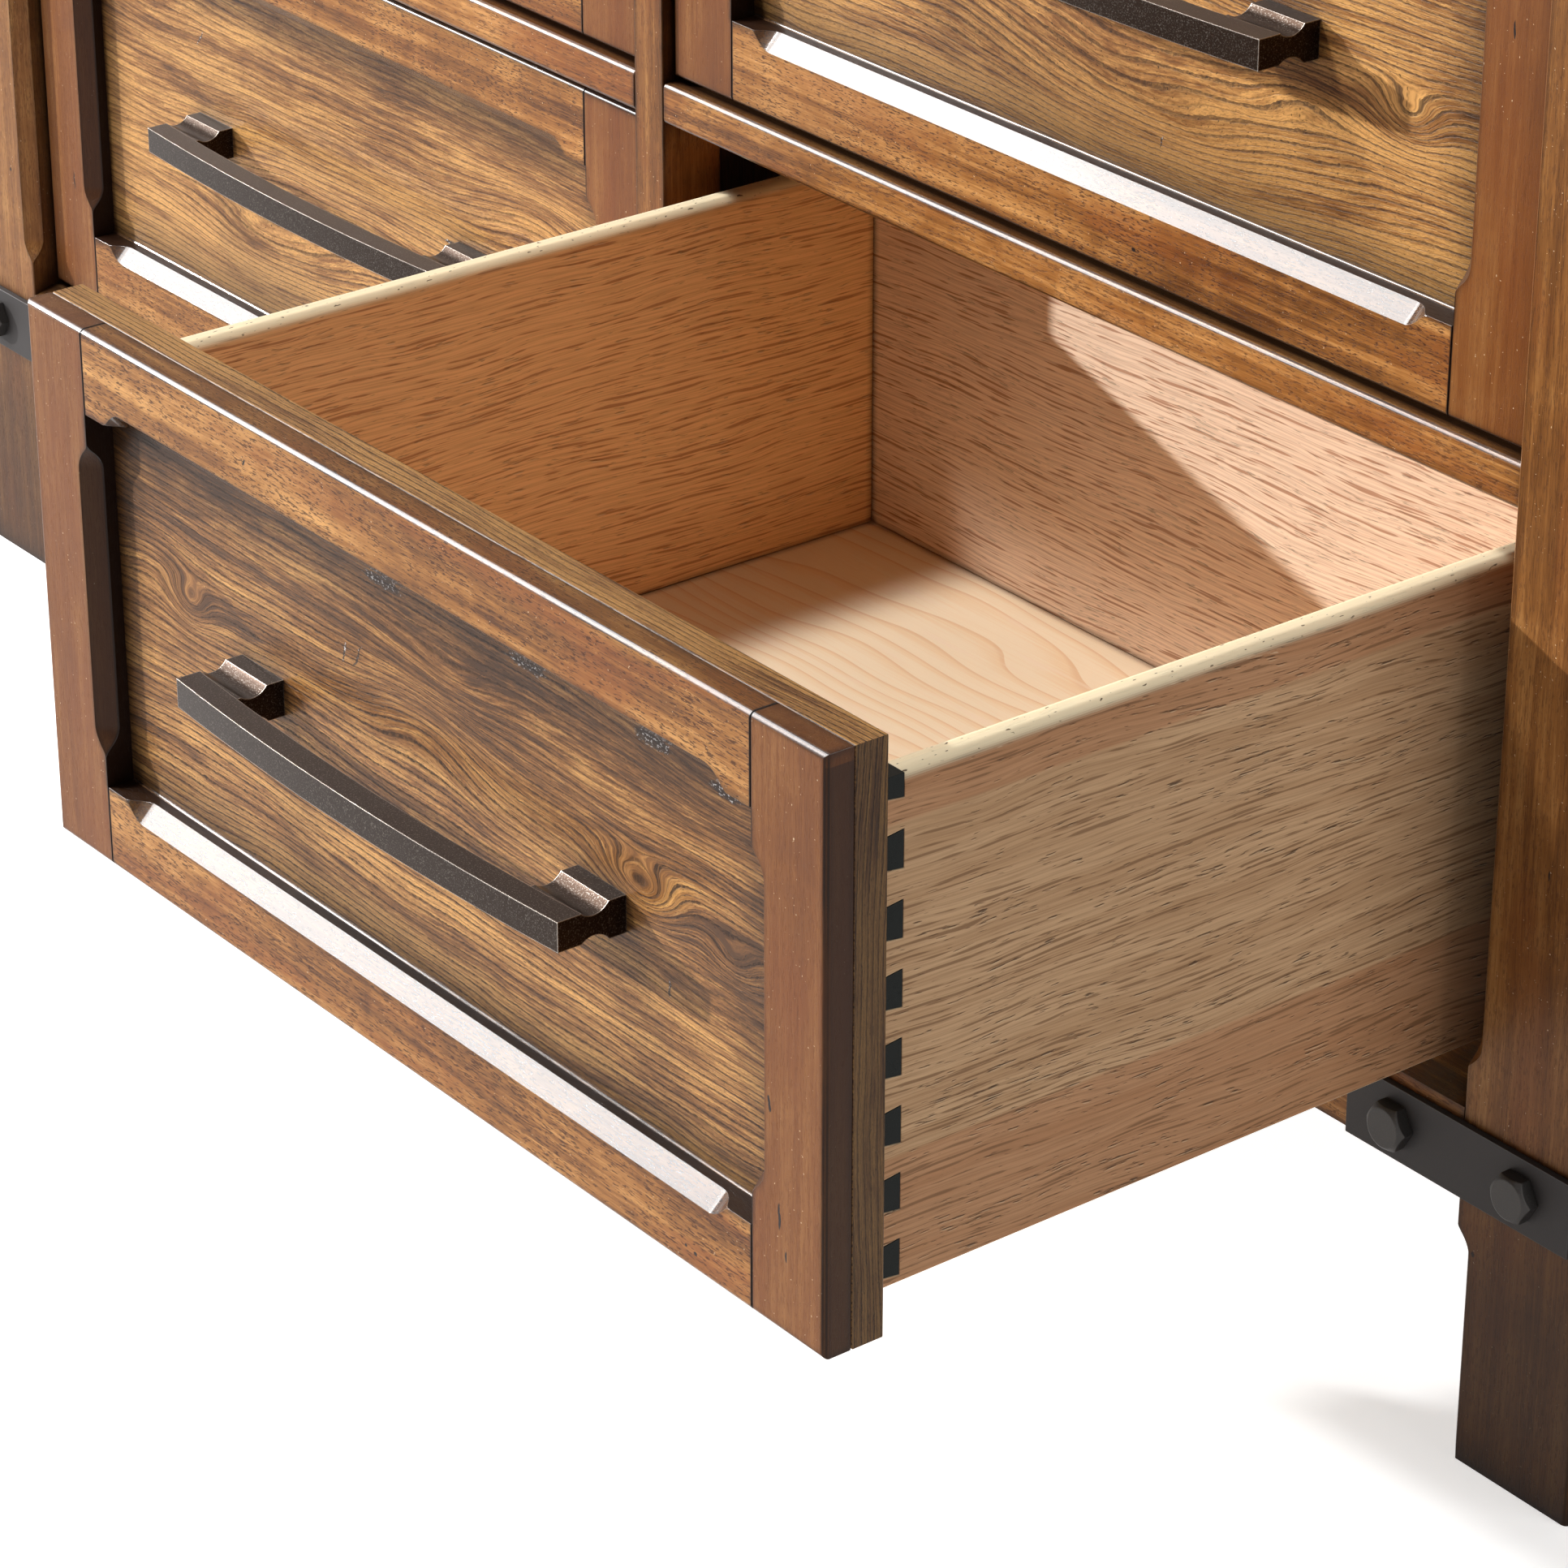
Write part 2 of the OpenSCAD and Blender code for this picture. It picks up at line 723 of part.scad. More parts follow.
module drawer_panel(d) {
    color(wood) in_drawer(d) difference() {
        front_blank(frame_t, front_t, small_r, small_r);
        screw_holes(frame_t - over, front_t + over, screw_d / 2 + joint_gap);
    }
}

module drawer_frame(d) {
    stile_in = front_w / 2 - frame_stile_w;
    rail_in = front_w / 2 - frame_stile_w - joint_line;
    window_h = front_h - 2 * frame_rail_h;
    color(wood) in_drawer(d) intersection() {
        front_blank(0, frame_t, arris_r, small_r);
        union() {
            both_sides() difference() {
                block([stile_in, 0, 0], [front_w / 2, frame_t, front_h]);
                translate([stile_in, 0, frame_rail_h + chamfer_stop])
                    upright_cutter(window_h - 2 * chamfer_stop);
            }
            for (k = [0, 1]) translate([0, 0, k * front_h]) mirror([0, 0, k]) difference() {
                block([-rail_in, 0, 0], [rail_in, frame_t, frame_rail_h]);
                translate([-rail_in + chamfer_stop, 0, frame_rail_h]) mirror([0, 0, 1])
                    chamfer_cutter(2 * (rail_in - chamfer_stop));
            }
        }
    }
}

// Outline of the pins in Y and Z, from their roots at the inner face to the lap
module pin_outlines(play) {
    root_y = box_in_y;
    tip_y = front_t + pin_lap;
    narrow = (root_y - tip_y) * tan(pin_slope);
    for (i = [0:pin_count - 1]) translate([0, pin_first + i * pin_pitch]) polygon([
        [root_y, pin_root / 2 - play], [tip_y - over, pin_root / 2 - narrow - over * tan(pin_slope) - play],
        [tip_y - over, -pin_root / 2 + narrow + over * tan(pin_slope) + play], [root_y, -pin_root / 2 + play]
    ]);
}

// What the runner needs of the box front and back
module runner_notch(y0, y1) {
    block([-notch_w / 2, y0 - over, box_rise - over], [notch_w / 2, y1 + over, notch_top]);
}

module bottom_grooves(y0, y1) {
    block(
        [-box_in_w / 2 - groove_depth - end_gap, y0, bottom_up - joint_gap],
        [box_in_w / 2 + groove_depth + end_gap, y1, bottom_up + bottom_t + joint_gap]
    );
}

module drawer_box_front(d) {
    color(dark_wood) in_drawer(d) difference() {
        union() {
            block([-box_in_w / 2, front_t, box_rise], [box_in_w / 2, box_in_y, box_top]);
            both_sides() intersection() {
                block([box_in_w / 2 - over, front_t, box_rise], [box_w / 2, box_in_y, box_top]);
                along_x(box_in_w / 2 - over, box_w / 2) union() {
                    pin_outlines(joint_gap);
                    translate([front_t, 0]) square([pin_lap - joint_gap, front_h]);
                }
            }
        }
        runner_notch(front_t, box_in_y);
        bottom_grooves(box_in_y - groove_depth - end_gap, box_in_y + over);
        screw_holes(front_t - over, box_in_y + over, screw_d / 2 + joint_gap);
    }
}

module drawer_side() {
    difference() {
        translate([box_in_w / 2, 0, 0]) along_y(front_t + pin_lap, box_end_y)
            translate([0, box_rise]) eased(side_t, box_top - box_rise, small_r, side_round);
        along_x(box_in_w / 2 - over, box_w / 2 + over) pin_outlines(0);
        bottom_grooves(box_in_y - groove_depth - end_gap, box_back_y + groove_depth + end_gap);
        block(
            [box_in_w / 2 - over, box_back_y - joint_gap, box_rise - over],
            [box_in_w / 2 + groove_depth + end_gap, box_back_y + box_back_t + joint_gap, box_top + over]
        );
    }
}

module drawer_side_left(d) { color(box_wood) in_drawer(d) on_side(-1) drawer_side(); }
module drawer_side_right(d) { color(box_wood) in_drawer(d) on_side(1) drawer_side(); }

module drawer_box_back(d) {
    half = box_in_w / 2 + groove_depth;
    color(box_wood) in_drawer(d) difference() {
        block([-half, box_back_y, box_rise], [half, box_back_y + box_back_t, box_top]);
        runner_notch(box_back_y, box_back_y + box_back_t);
        bottom_grooves(box_back_y - over, box_back_y + groove_depth + end_gap);
    }
}

module drawer_bottom(d) {
    half = box_in_w / 2 + groove_depth;
    color(pale_wood) in_drawer(d) block(
        [-half, box_in_y - groove_depth, bottom_up],
        [half, box_back_y + groove_depth, bottom_up + bottom_t]
    );
}

module drawer_guide(d) {
    color(pale_wood) in_drawer(d) along_y(box_in_y, box_back_y) difference() {
        translate([-guide_w / 2, bottom_up - guide_h]) square([guide_w, guide_h]);
        translate([-runner_w / 2 - slide_gap, bottom_up - guide_h - over])
            square([runner_w + 2 * slide_gap, guide_h - guide_roof + over]);
    }
}

// Plan of the bowed bar, its outer face on one arc and its inner face on another
module bar_plan() {
    intersection() {
        translate([-pull_len / 2, -bar_reach]) square([pull_len, bar_reach]);
        difference() {
            translate([0, bow_r - bar_reach]) circle(bow_r, $fn = arc_fn);
            translate([0, bow_r - bar_reach + bar_t]) circle(bow_r, $fn = arc_fn);
        }
    }
}

// The block runs into the bar, a little lower than the bar is
module end_block() {
    neck_h = bar_h - 2 * neck_step;
    difference() {
        union() {
            block([-block_w / 2, cove_y(), -foot_h / 2], [block_w / 2, 0, foot_h / 2]);
            block([-block_w / 2, bar_t - bar_reach, -neck_h / 2], [block_w / 2, cove_y(), neck_h / 2]);
        }
        for (k = [-1, 1]) translate([-block_w / 2 - over, cove_y(), k * (waist_h / 2 + cove_r)])
            rotate([0, 90, 0]) cylinder(h = block_w + 2 * over, r = cove_r);
    }
}

// Depth of the coves' axis, such that each cove starts at the front of the foot
function cove_y() = -foot_t - sqrt(pow(cove_r, 2) - pow(cove_r - (foot_h - waist_h) / 2, 2));

module pull_screw() {
    rotate([-90, 0, 0]) {
        translate([0, 0, -screw_in]) cylinder(h = screw_in + panel_t + box_front_t + over, d = screw_d);
        translate([0, 0, panel_t + box_front_t]) cylinder(h = screw_head_h, r = screw_head_r);
    }
}

module drawer_pull(d) {
    color(iron) in_drawer(d) translate([0, frame_t, front_h / 2]) {
        difference() {
            union() {
                translate([0, 0, -bar_h / 2]) linear_extrude(bar_h) bar_plan();
                both_sides() translate([block_x, 0, 0]) end_block();
            }
            both_sides() translate([block_x, -screw_in - end_gap, 0])
                rotate([-90, 0, 0]) cylinder(h = screw_in + end_gap + over, r = screw_d / 2 + joint_gap);
        }
        both_sides() translate([block_x, 0, 0]) pull_screw();
    }
}

front_post_left();
front_post_right();
rear_post_left();
rear_post_right();
side_panel_left();
side_panel_right();
side_rails_left();
side_rails_right();
bottom_rail();
mid_rail_left();
mid_rail_right();
upper_rail();
top_rail();
centre_stile();
centre_partition();
media_shelf();
media_divider();
top_board();
back_panel();
rear_rails();
drawer_runners();
strap_left();
strap_right();
strap_bolts();
for (d = DRAWERS) {
    drawer_panel(d);
    drawer_frame(d);
    drawer_box_front(d);
    drawer_side_left(d);
    drawer_side_right(d);
    drawer_box_back(d);
    drawer_bottom(d);
    drawer_guide(d);
    drawer_pull(d);
}
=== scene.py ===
"""Looks of the media dresser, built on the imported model: finishes, softened edges, light and camera."""

from __future__ import annotations

import logging
import math
from dataclasses import dataclass
from enum import Enum

import bpy
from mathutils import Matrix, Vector

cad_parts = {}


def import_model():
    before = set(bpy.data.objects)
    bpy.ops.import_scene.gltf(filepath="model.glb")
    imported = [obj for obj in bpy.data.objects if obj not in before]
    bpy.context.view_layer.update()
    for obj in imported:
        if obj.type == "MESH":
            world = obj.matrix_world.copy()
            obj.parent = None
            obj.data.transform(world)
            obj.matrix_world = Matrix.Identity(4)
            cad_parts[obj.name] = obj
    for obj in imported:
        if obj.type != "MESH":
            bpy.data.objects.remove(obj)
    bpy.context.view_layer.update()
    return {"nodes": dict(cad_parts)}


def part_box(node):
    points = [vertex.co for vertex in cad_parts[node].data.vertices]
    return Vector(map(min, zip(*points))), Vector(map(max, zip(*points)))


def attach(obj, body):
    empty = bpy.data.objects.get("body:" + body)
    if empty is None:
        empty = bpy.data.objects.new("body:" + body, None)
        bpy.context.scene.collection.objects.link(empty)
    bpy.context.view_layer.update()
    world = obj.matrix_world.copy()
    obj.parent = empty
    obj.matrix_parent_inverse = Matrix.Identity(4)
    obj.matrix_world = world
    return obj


LOG = logging.getLogger("media_dresser")

Socket = bpy.types.NodeSocket
Material = bpy.types.Material
Pieces = dict[str, bpy.types.Object]
Colour = tuple[float, float, float, float]
Triple = tuple[float, float, float]
Feed = float | Triple | Colour | Socket
Rows = tuple[tuple[Material, tuple[str, ...]], ...]

MM_IN_METRE = 1000.0
SQUARE_ON = 0.8  # A face this square to an axis counts as facing it.
WHITE: Colour = (1.0, 1.0, 1.0, 1.0)
COLUMN = 262.0  # Middle of a drawer from the middle of the case, in mm.
ROW_FOOT = 157.5  # Lower edge of the lower drawers, in mm.
ROW_PITCH = 253.0  # From one row of drawers to the next, in mm.
BOX_INSIDE = 223.3  # Half the inside width of a drawer box, and 0.3 mm more, in mm.
WELD_GAP = 0.00002  # Points this close are joined before edges are eased, in metres.
FLAT_TURN = 0.2  # Faces that turn less than this are made one, in degrees.
EDGE_TURN = 32.0  # Least turn between faces that counts as an edge, in degrees.
EDGE_STEPS = 2  # Faces across an eased edge.


def stain(red: int, green: int, blue: int) -> Colour:
    """Turn a colour as it is seen on a screen into the one the shader works with.

    Args:
        red: Red from 0 to 255.
        green: Green from 0 to 255.
        blue: Blue from 0 to 255.

    Returns:
        The linear colour, opaque.
    """
    parts = [value / 255 for value in (red, green, blue)]
    linear = [p / 12.92 if p <= 0.04045 else ((p + 0.055) / 1.055) ** 2.4 for p in parts]
    return (linear[0], linear[1], linear[2], 1.0)


BARE_WOOD: Colour = stain(206, 172, 128)
BARE_GRAIN: Colour = stain(160, 120, 80)


class GrainRun(Enum):
    """The way the fibres of a board run."""

    WIDTH = 0
    DEPTH = 1
    HEIGHT = 2

    def pick(self, parts: tuple[Socket, ...]) -> Socket:
        """Take the number that belongs to this way out of three."""
        return parts[self.value]

    def stretch(self, along: float, across: float) -> Triple:
        """Give the factors per mm that make a pattern's patches this long and wide, in mm, along the fibres."""
        return tuple(1 / (along if way is self else across) for way in GrainRun)


class NodeLayout:
    """A tree of shader nodes, laid out by short calls."""

    def __init__(self, tree: bpy.types.NodeTree) -> None:
        """Start on a tree from nothing."""
        self.tree = tree
        tree.nodes.clear()

    def add(self, kind: str, feeds: dict[int | str, Feed] | None = None, **settings: object) -> bpy.types.Node:
        """Add a node.

        Args:
            kind: Blender's name of the node.
            feeds: What goes into its inputs, by place or name: a socket to link, or a plain value.
            **settings: Values of the node's own settings.

        Returns:
            The new node.
        """
        node = self.tree.nodes.new(kind)
        for name, value in settings.items():
            setattr(node, name, value)
        for key, value in (feeds or {}).items():
            if isinstance(value, Socket):
                self.tree.links.new(value, node.inputs[key])
            else:
                node.inputs[key].default_value = value
        return node

    def math(self, work: str, first: Feed, second: Feed = 0.0, third: Feed = 0.0) -> Socket:
        """Work out one number from up to three, by Blender's name of the operation."""
        return self.add("ShaderNodeMath", {0: first, 1: second, 2: third}, operation=work).outputs[0]

    def times(self, first: Feed, second: Feed) -> Socket:
        """Multiply two numbers."""
        return self.math("MULTIPLY", first, second)

    def scaled(self, value: Feed, factor: Feed, more: Feed) -> Socket:
        """Multiply two numbers and add a third."""
        return self.math("MULTIPLY_ADD", value, factor, more)

    def plus(self, first: Feed, second: Feed) -> Socket:
        """Add two numbers."""
        return self.math("ADD", first, second)

    def minus(self, first: Feed, second: Feed) -> Socket:
        """Take the second number from the first."""
        return self.math("SUBTRACT", first, second)

    def most(self, first: Feed, second: Feed) -> Socket:
        """Take the greater of two numbers."""
        return self.math("MAXIMUM", first, second)

    def least(self, first: Feed, second: Feed) -> Socket:
        """Take the smaller of two numbers."""
        return self.math("MINIMUM", first, second)

    def above(self, value: Feed, limit: Feed) -> Socket:
        """Give 1 where a number is above a limit, else 0."""
        return self.math("GREATER_THAN", value, limit)

    def below(self, value: Feed, limit: Feed) -> Socket:
        """Give 1 where a number is below a limit, else 0."""
        return self.math("LESS_THAN", value, limit)

    def apart(self, first: Feed, second: Feed) -> Socket:
        """Tell how far two numbers are apart."""
        return self.math("ABSOLUTE", self.minus(first, second))

    def between(
        self, value: Feed, low: float, high: float, start: float = 0.0, end: float = 1.0, soft: bool = True
    ) -> Socket:
        """Bring a number from one range into another, held at both ends.

        Args:
            value: The number.
            low: Where the range begins.
            high: Where it ends.
            start: Result at the beginning.
            end: Result at the end.
            soft: Whether the ends are rounded.

        Returns:
            The number in its new range.
        """
        feeds = {"Value": value, "From Min": low, "From Max": high, "To Min": start, "To Max": end}
        way = "SMOOTHSTEP" if soft else "LINEAR"
        return self.add("ShaderNodeMapRange", feeds, interpolation_type=way).outputs[0]

    def when_seen(self, unseen: float, seen: float) -> Socket:
        """Give one number to rays that show a thing and another to rays that light others.

        Args:
            unseen: Number for rays that light.
            seen: Number for rays to the camera, from a mirror or through glass.

        Returns:
            The number for each ray.
        """
        rays = self.add("ShaderNodeLightPath").outputs
        shown = self.most(self.most(rays["Is Camera Ray"], rays["Is Glossy Ray"]), rays["Is Transmission Ray"])
        return self.between(shown, 0.0, 1.0, unseen, seen, soft=False)


class NodeSheet(NodeLayout):
    """The nodes of one material."""

    def __init__(self, name: str) -> None:
        """Start an empty material.

        Args:
            name: Name of the material.
        """
        self.material: Material = bpy.data.materials.new(name)
        self.material.use_nodes = True
        super().__init__(self.material.node_tree)
        spot = self.add("ShaderNodeTexCoord").outputs["Object"]
        self.place: Socket = self.vector("MULTIPLY", spot, (MM_IN_METRE,) * 3)

    def vector(self, work: str, first: Feed, second: Feed) -> Socket:
        """Work out one vector from two, by Blender's name of the operation."""
        return self.add("ShaderNodeVectorMath", {0: first, 1: second}, operation=work).outputs["Vector"]

    def parts(self, value: Feed) -> tuple[Socket, ...]:
        """Split a vector into its three numbers."""
        return tuple(self.add("ShaderNodeSeparateXYZ", {0: value}).outputs)

    def join(self, first: Feed, second: Feed, third: Feed) -> Socket:
        """Make a vector of three numbers."""
        return self.add("ShaderNodeCombineXYZ", {0: first, 1: second, 2: third}).outputs[0]

    def noise(self, spot: Feed, detail: float = 2.0, rough: float = 0.5, twist: float = 0.0) -> Socket:
        """Make a soft random pattern around one half, with finer layers, read at a spot counted in patches."""
        feeds = {"Vector": spot, "Scale": 1.0, "Detail": detail, "Roughness": rough, "Distortion": twist}
        return self.add("ShaderNodeTexNoise", feeds).outputs[0]

    def grain(self, spot: Feed, factors: Triple, detail: float = 2.0, rough: float = 0.5, twist: float = 0.0) -> Socket:
        """Make a soft random pattern that is stretched by a factor along each axis."""
        return self.noise(self.vector("MULTIPLY", spot, factors), detail, rough, twist)

    def blend(self, share: Feed, under: Feed, over: Feed) -> Socket:
        """Lay one colour over another by a share."""
        return self.add("ShaderNodeMix", {0: share, 6: under, 7: over}, data_type="RGBA").outputs[2]

    def mix_number(self, share: Feed, under: Feed, over: Feed) -> Socket:
        """Mix two numbers by a share."""
        return self.add("ShaderNodeMix", {0: share, 2: under, 3: over}, data_type="FLOAT").outputs[0]

    def ramp(self, value: Feed, low: Colour, spot: float, middle: Colour, high: Colour) -> Socket:
        """Turn a number from 0 to 1 into a colour.

        Args:
            value: The number.
            low: Colour at 0.
            spot: Where the middle colour lies.
            middle: The middle colour.
            high: Colour at 1.

        Returns:
            The colour.
        """
        node = self.add("ShaderNodeValToRGB", {0: value})
        node.color_ramp.elements.new(0.5)
        for element, where, colour in zip(node.color_ramp.elements, (0.0, spot, 1.0), (low, middle, high)):
            element.position = where
            element.color = colour
        return node.outputs[0]

    def facing(self) -> tuple[Socket, ...]:
        """Tell how squarely the surface faces along each axis, from 0 to 1."""
        flat = self.add("ShaderNodeNewGeometry").outputs["True Normal"]
        return self.parts(self.vector("ABSOLUTE", flat, (0.0, 0.0, 0.0)))

    def arris(self, radius: float) -> Socket:
        """Find the edges of the piece.

        Args:
            radius: How far the effect reaches from an edge, in metres.

        Returns:
            About 0 on flat parts, rising to 1 at an edge.
        """
        bent = self.add("ShaderNodeBevel", {"Radius": radius}, samples=6).outputs[0]
        flat = self.add("ShaderNodeNewGeometry").outputs["Normal"]
        product = self.add("ShaderNodeVectorMath", {0: bent, 1: flat}, operation="DOT_PRODUCT").outputs["Value"]
        return self.between(self.minus(1.0, product), 0.004, 0.13)

    def eased(self) -> Socket:
        """Find the narrow rounded strips along the edges, leaving the chamfers out.

        Returns:
            1 on a rounded strip, 0 elsewhere.
        """
        side, front, level = self.facing()
        square = self.most(side, self.most(front, level))
        return self.times(self.between(square, 0.93, 0.98, 1.0, 0.0), self.between(square, 0.76, 0.82))

    def chamfered(self) -> Socket:
        """Find faces that lean halfway between front and top, where lacquer shines most."""
        _, front, level = self.facing()
        return self.between(self.least(front, level), 0.60, 0.66)

    def crevice_shade(self, reach: float, share: float) -> Socket:
        """Give this share of painted shade deep in corners, where little light reaches, and 0 at this reach from them,
        in metres.
        """
        node = self.add("ShaderNodeAmbientOcclusion", {"Distance": reach}, samples=4, only_local=False)
        return self.times(self.between(node.outputs["AO"], 0.45, 0.95, 1.0, 0.0), share)

    def bump(self, height: Feed, depth: float, strength: float) -> Socket:
        """Bend the normals by a pattern from 0 to 1 whose 1 is this high, in metres, and by a share."""
        return self.add("ShaderNodeBump", {"Strength": strength, "Distance": depth, "Height": height}).outputs[0]

    def close(
        self,
        colour: Feed,
        roughness: Feed,
        normal: Socket | None = None,
        metal: float = 0.0,
        shine: float = 0.5,
        coat: Feed = 0.0,
    ) -> Material:
        """Finish the material with its surface shader.

        Args:
            colour: Base colour.
            roughness: Roughness.
            normal: Bent normal, if there is one.
            metal: 1 for bare metal, 0 for anything else.
            shine: Level of the mirror-like part.
            coat: Share of a thin glossy coat.

        Returns:
            The finished material.
        """
        feeds = {"Base Color": colour, "Roughness": roughness, "Metallic": metal, "Specular IOR Level": shine}
        feeds |= {"Coat Weight": coat, "Coat Roughness": 0.10}
        if normal is not None:
            feeds["Normal"] = normal
        surface = self.add("ShaderNodeBsdfPrincipled", feeds).outputs[0]
        self.add("ShaderNodeOutputMaterial", {"Surface": surface})
        return self.material


@dataclass(frozen=True)
class Face:
    """A face laid out flat, for marks and figures that have a place on it.

    Attributes:
        sheet: The material's nodes.
        across: Place along the face, in mm.
        up: Place up the face, in mm.
    """

    sheet: NodeSheet
    across: Socket
    up: Socket

    def noise(self, along: float, over: float, layer: float, detail: float, rough: float) -> Socket:
        """Make one layer of soft random patches, so many per mm along the face and up it."""
        spot = self.sheet.join(self.sheet.times(self.across, along), layer, self.sheet.times(self.up, over))
        return self.sheet.noise(spot, detail, rough)


@dataclass(frozen=True)
class Streak:
    """One mark in a face: a smear, crack or dent with soft ends.

    Attributes:
        across: Place along the face, in mm.
        up: Place up the face, in mm.
        length: Half its length, in mm.
        width: Half its width, in mm.
        lean: Its slope from level, in degrees.
    """

    across: float
    up: float
    length: float
    width: float
    lean: float = 0.0

    def draw(self, sheet: NodeSheet, across: Feed, up: Feed) -> Socket:
        """Make the mark.

        Args:
            sheet: The material's nodes.
            across: Place along the face, in mm.
            up: Place up the face, in mm.

        Returns:
            1 in the middle of the mark, 0 away from it.
        """
        cosine, sine = math.cos(math.radians(self.lean)), math.sin(math.radians(self.lean))
        side = sheet.minus(across, self.across)
        rise = sheet.minus(up, self.up)
        along = sheet.scaled(side, cosine / self.length, sheet.times(rise, sine / self.length))
        over = sheet.scaled(rise, cosine / self.width, sheet.times(side, -sine / self.width))
        feeds = {0: sheet.join(along, over, 0.0)}
        far = sheet.add("ShaderNodeVectorMath", feeds, operation="LENGTH").outputs["Value"]
        return sheet.between(far, 0.1, 1.0, 1.0, 0.0)

    @staticmethod
    def draw_all(streaks: tuple[Streak, ...], face: Face, bend: float) -> Socket:
        """Draw several marks with ragged outlines.

        Args:
            streaks: The marks.
            face: The face that they lie in.
            bend: How far the marks are bent, in mm.

        Returns:
            1 inside a mark, 0 elsewhere.
        """
        sheet = face.sheet
        flat = sheet.join(face.across, 0.0, face.up)
        ragged = sheet.grain(flat, (1 / 3.5, 1.0, 1 / 2.0), 3.0, 0.65)
        drift = sheet.grain(flat, (1 / 8.0, 1.0, 1 / 8.0), 2.0, 0.6)
        shifted = sheet.plus(face.across, sheet.scaled(drift, 2.0 * bend, -bend))
        total: Feed = 0.0
        for streak in streaks:
            total = sheet.most(total, streak.draw(sheet, shifted, face.up))
        return sheet.between(sheet.scaled(ragged, 0.9, sheet.minus(total, 0.95)), 0.0, 0.3)


@dataclass(frozen=True)
class Swirl:
    """A place where the growth lines of a veneer bulge or close into rings.

    Attributes:
        across: Place along the face, in mm.
        up: Place up the face, in mm.
        long: Reach along the grain, in mm.
        wide: Reach over the grain, in mm.
        lift: How far it shifts the lines, in mm.
    """

    across: float
    up: float
    long: float
    wide: float
    lift: float

    def shift(self, face: Face) -> Socket:
        """Work out how far the lines are moved here.

        Args:
            face: The face that the lines lie in.

        Returns:
            The shift in mm.
        """
        sheet = face.sheet
        side = sheet.scaled(face.across, 1 / self.long, -self.across / self.long)
        rise = sheet.scaled(face.up, 1 / self.wide, -self.up / self.wide)
        spread = sheet.scaled(side, side, sheet.times(rise, rise))
        return sheet.times(sheet.math("POWER", math.e, sheet.times(spread, -1.0)), self.lift)


@dataclass(frozen=True)
class FrontPlan:
    """Where the parts of one drawer front lie, for finishes that follow them, in mm.

    Attributes:
        middle: Middle of the drawer across.
        foot: Its lower edge.
        joint: Distance from the middle to the joint of stile and rail.
        window_low: Lower edge of the framed window above the foot.
        window_high: Its upper edge.
        crest: Where the upper edge of the frame begins.
    """

    middle: float
    foot: float
    joint: float = 209.75
    window_low: float = 33.0
    window_high: float = 197.0
    crest: float = 225.0


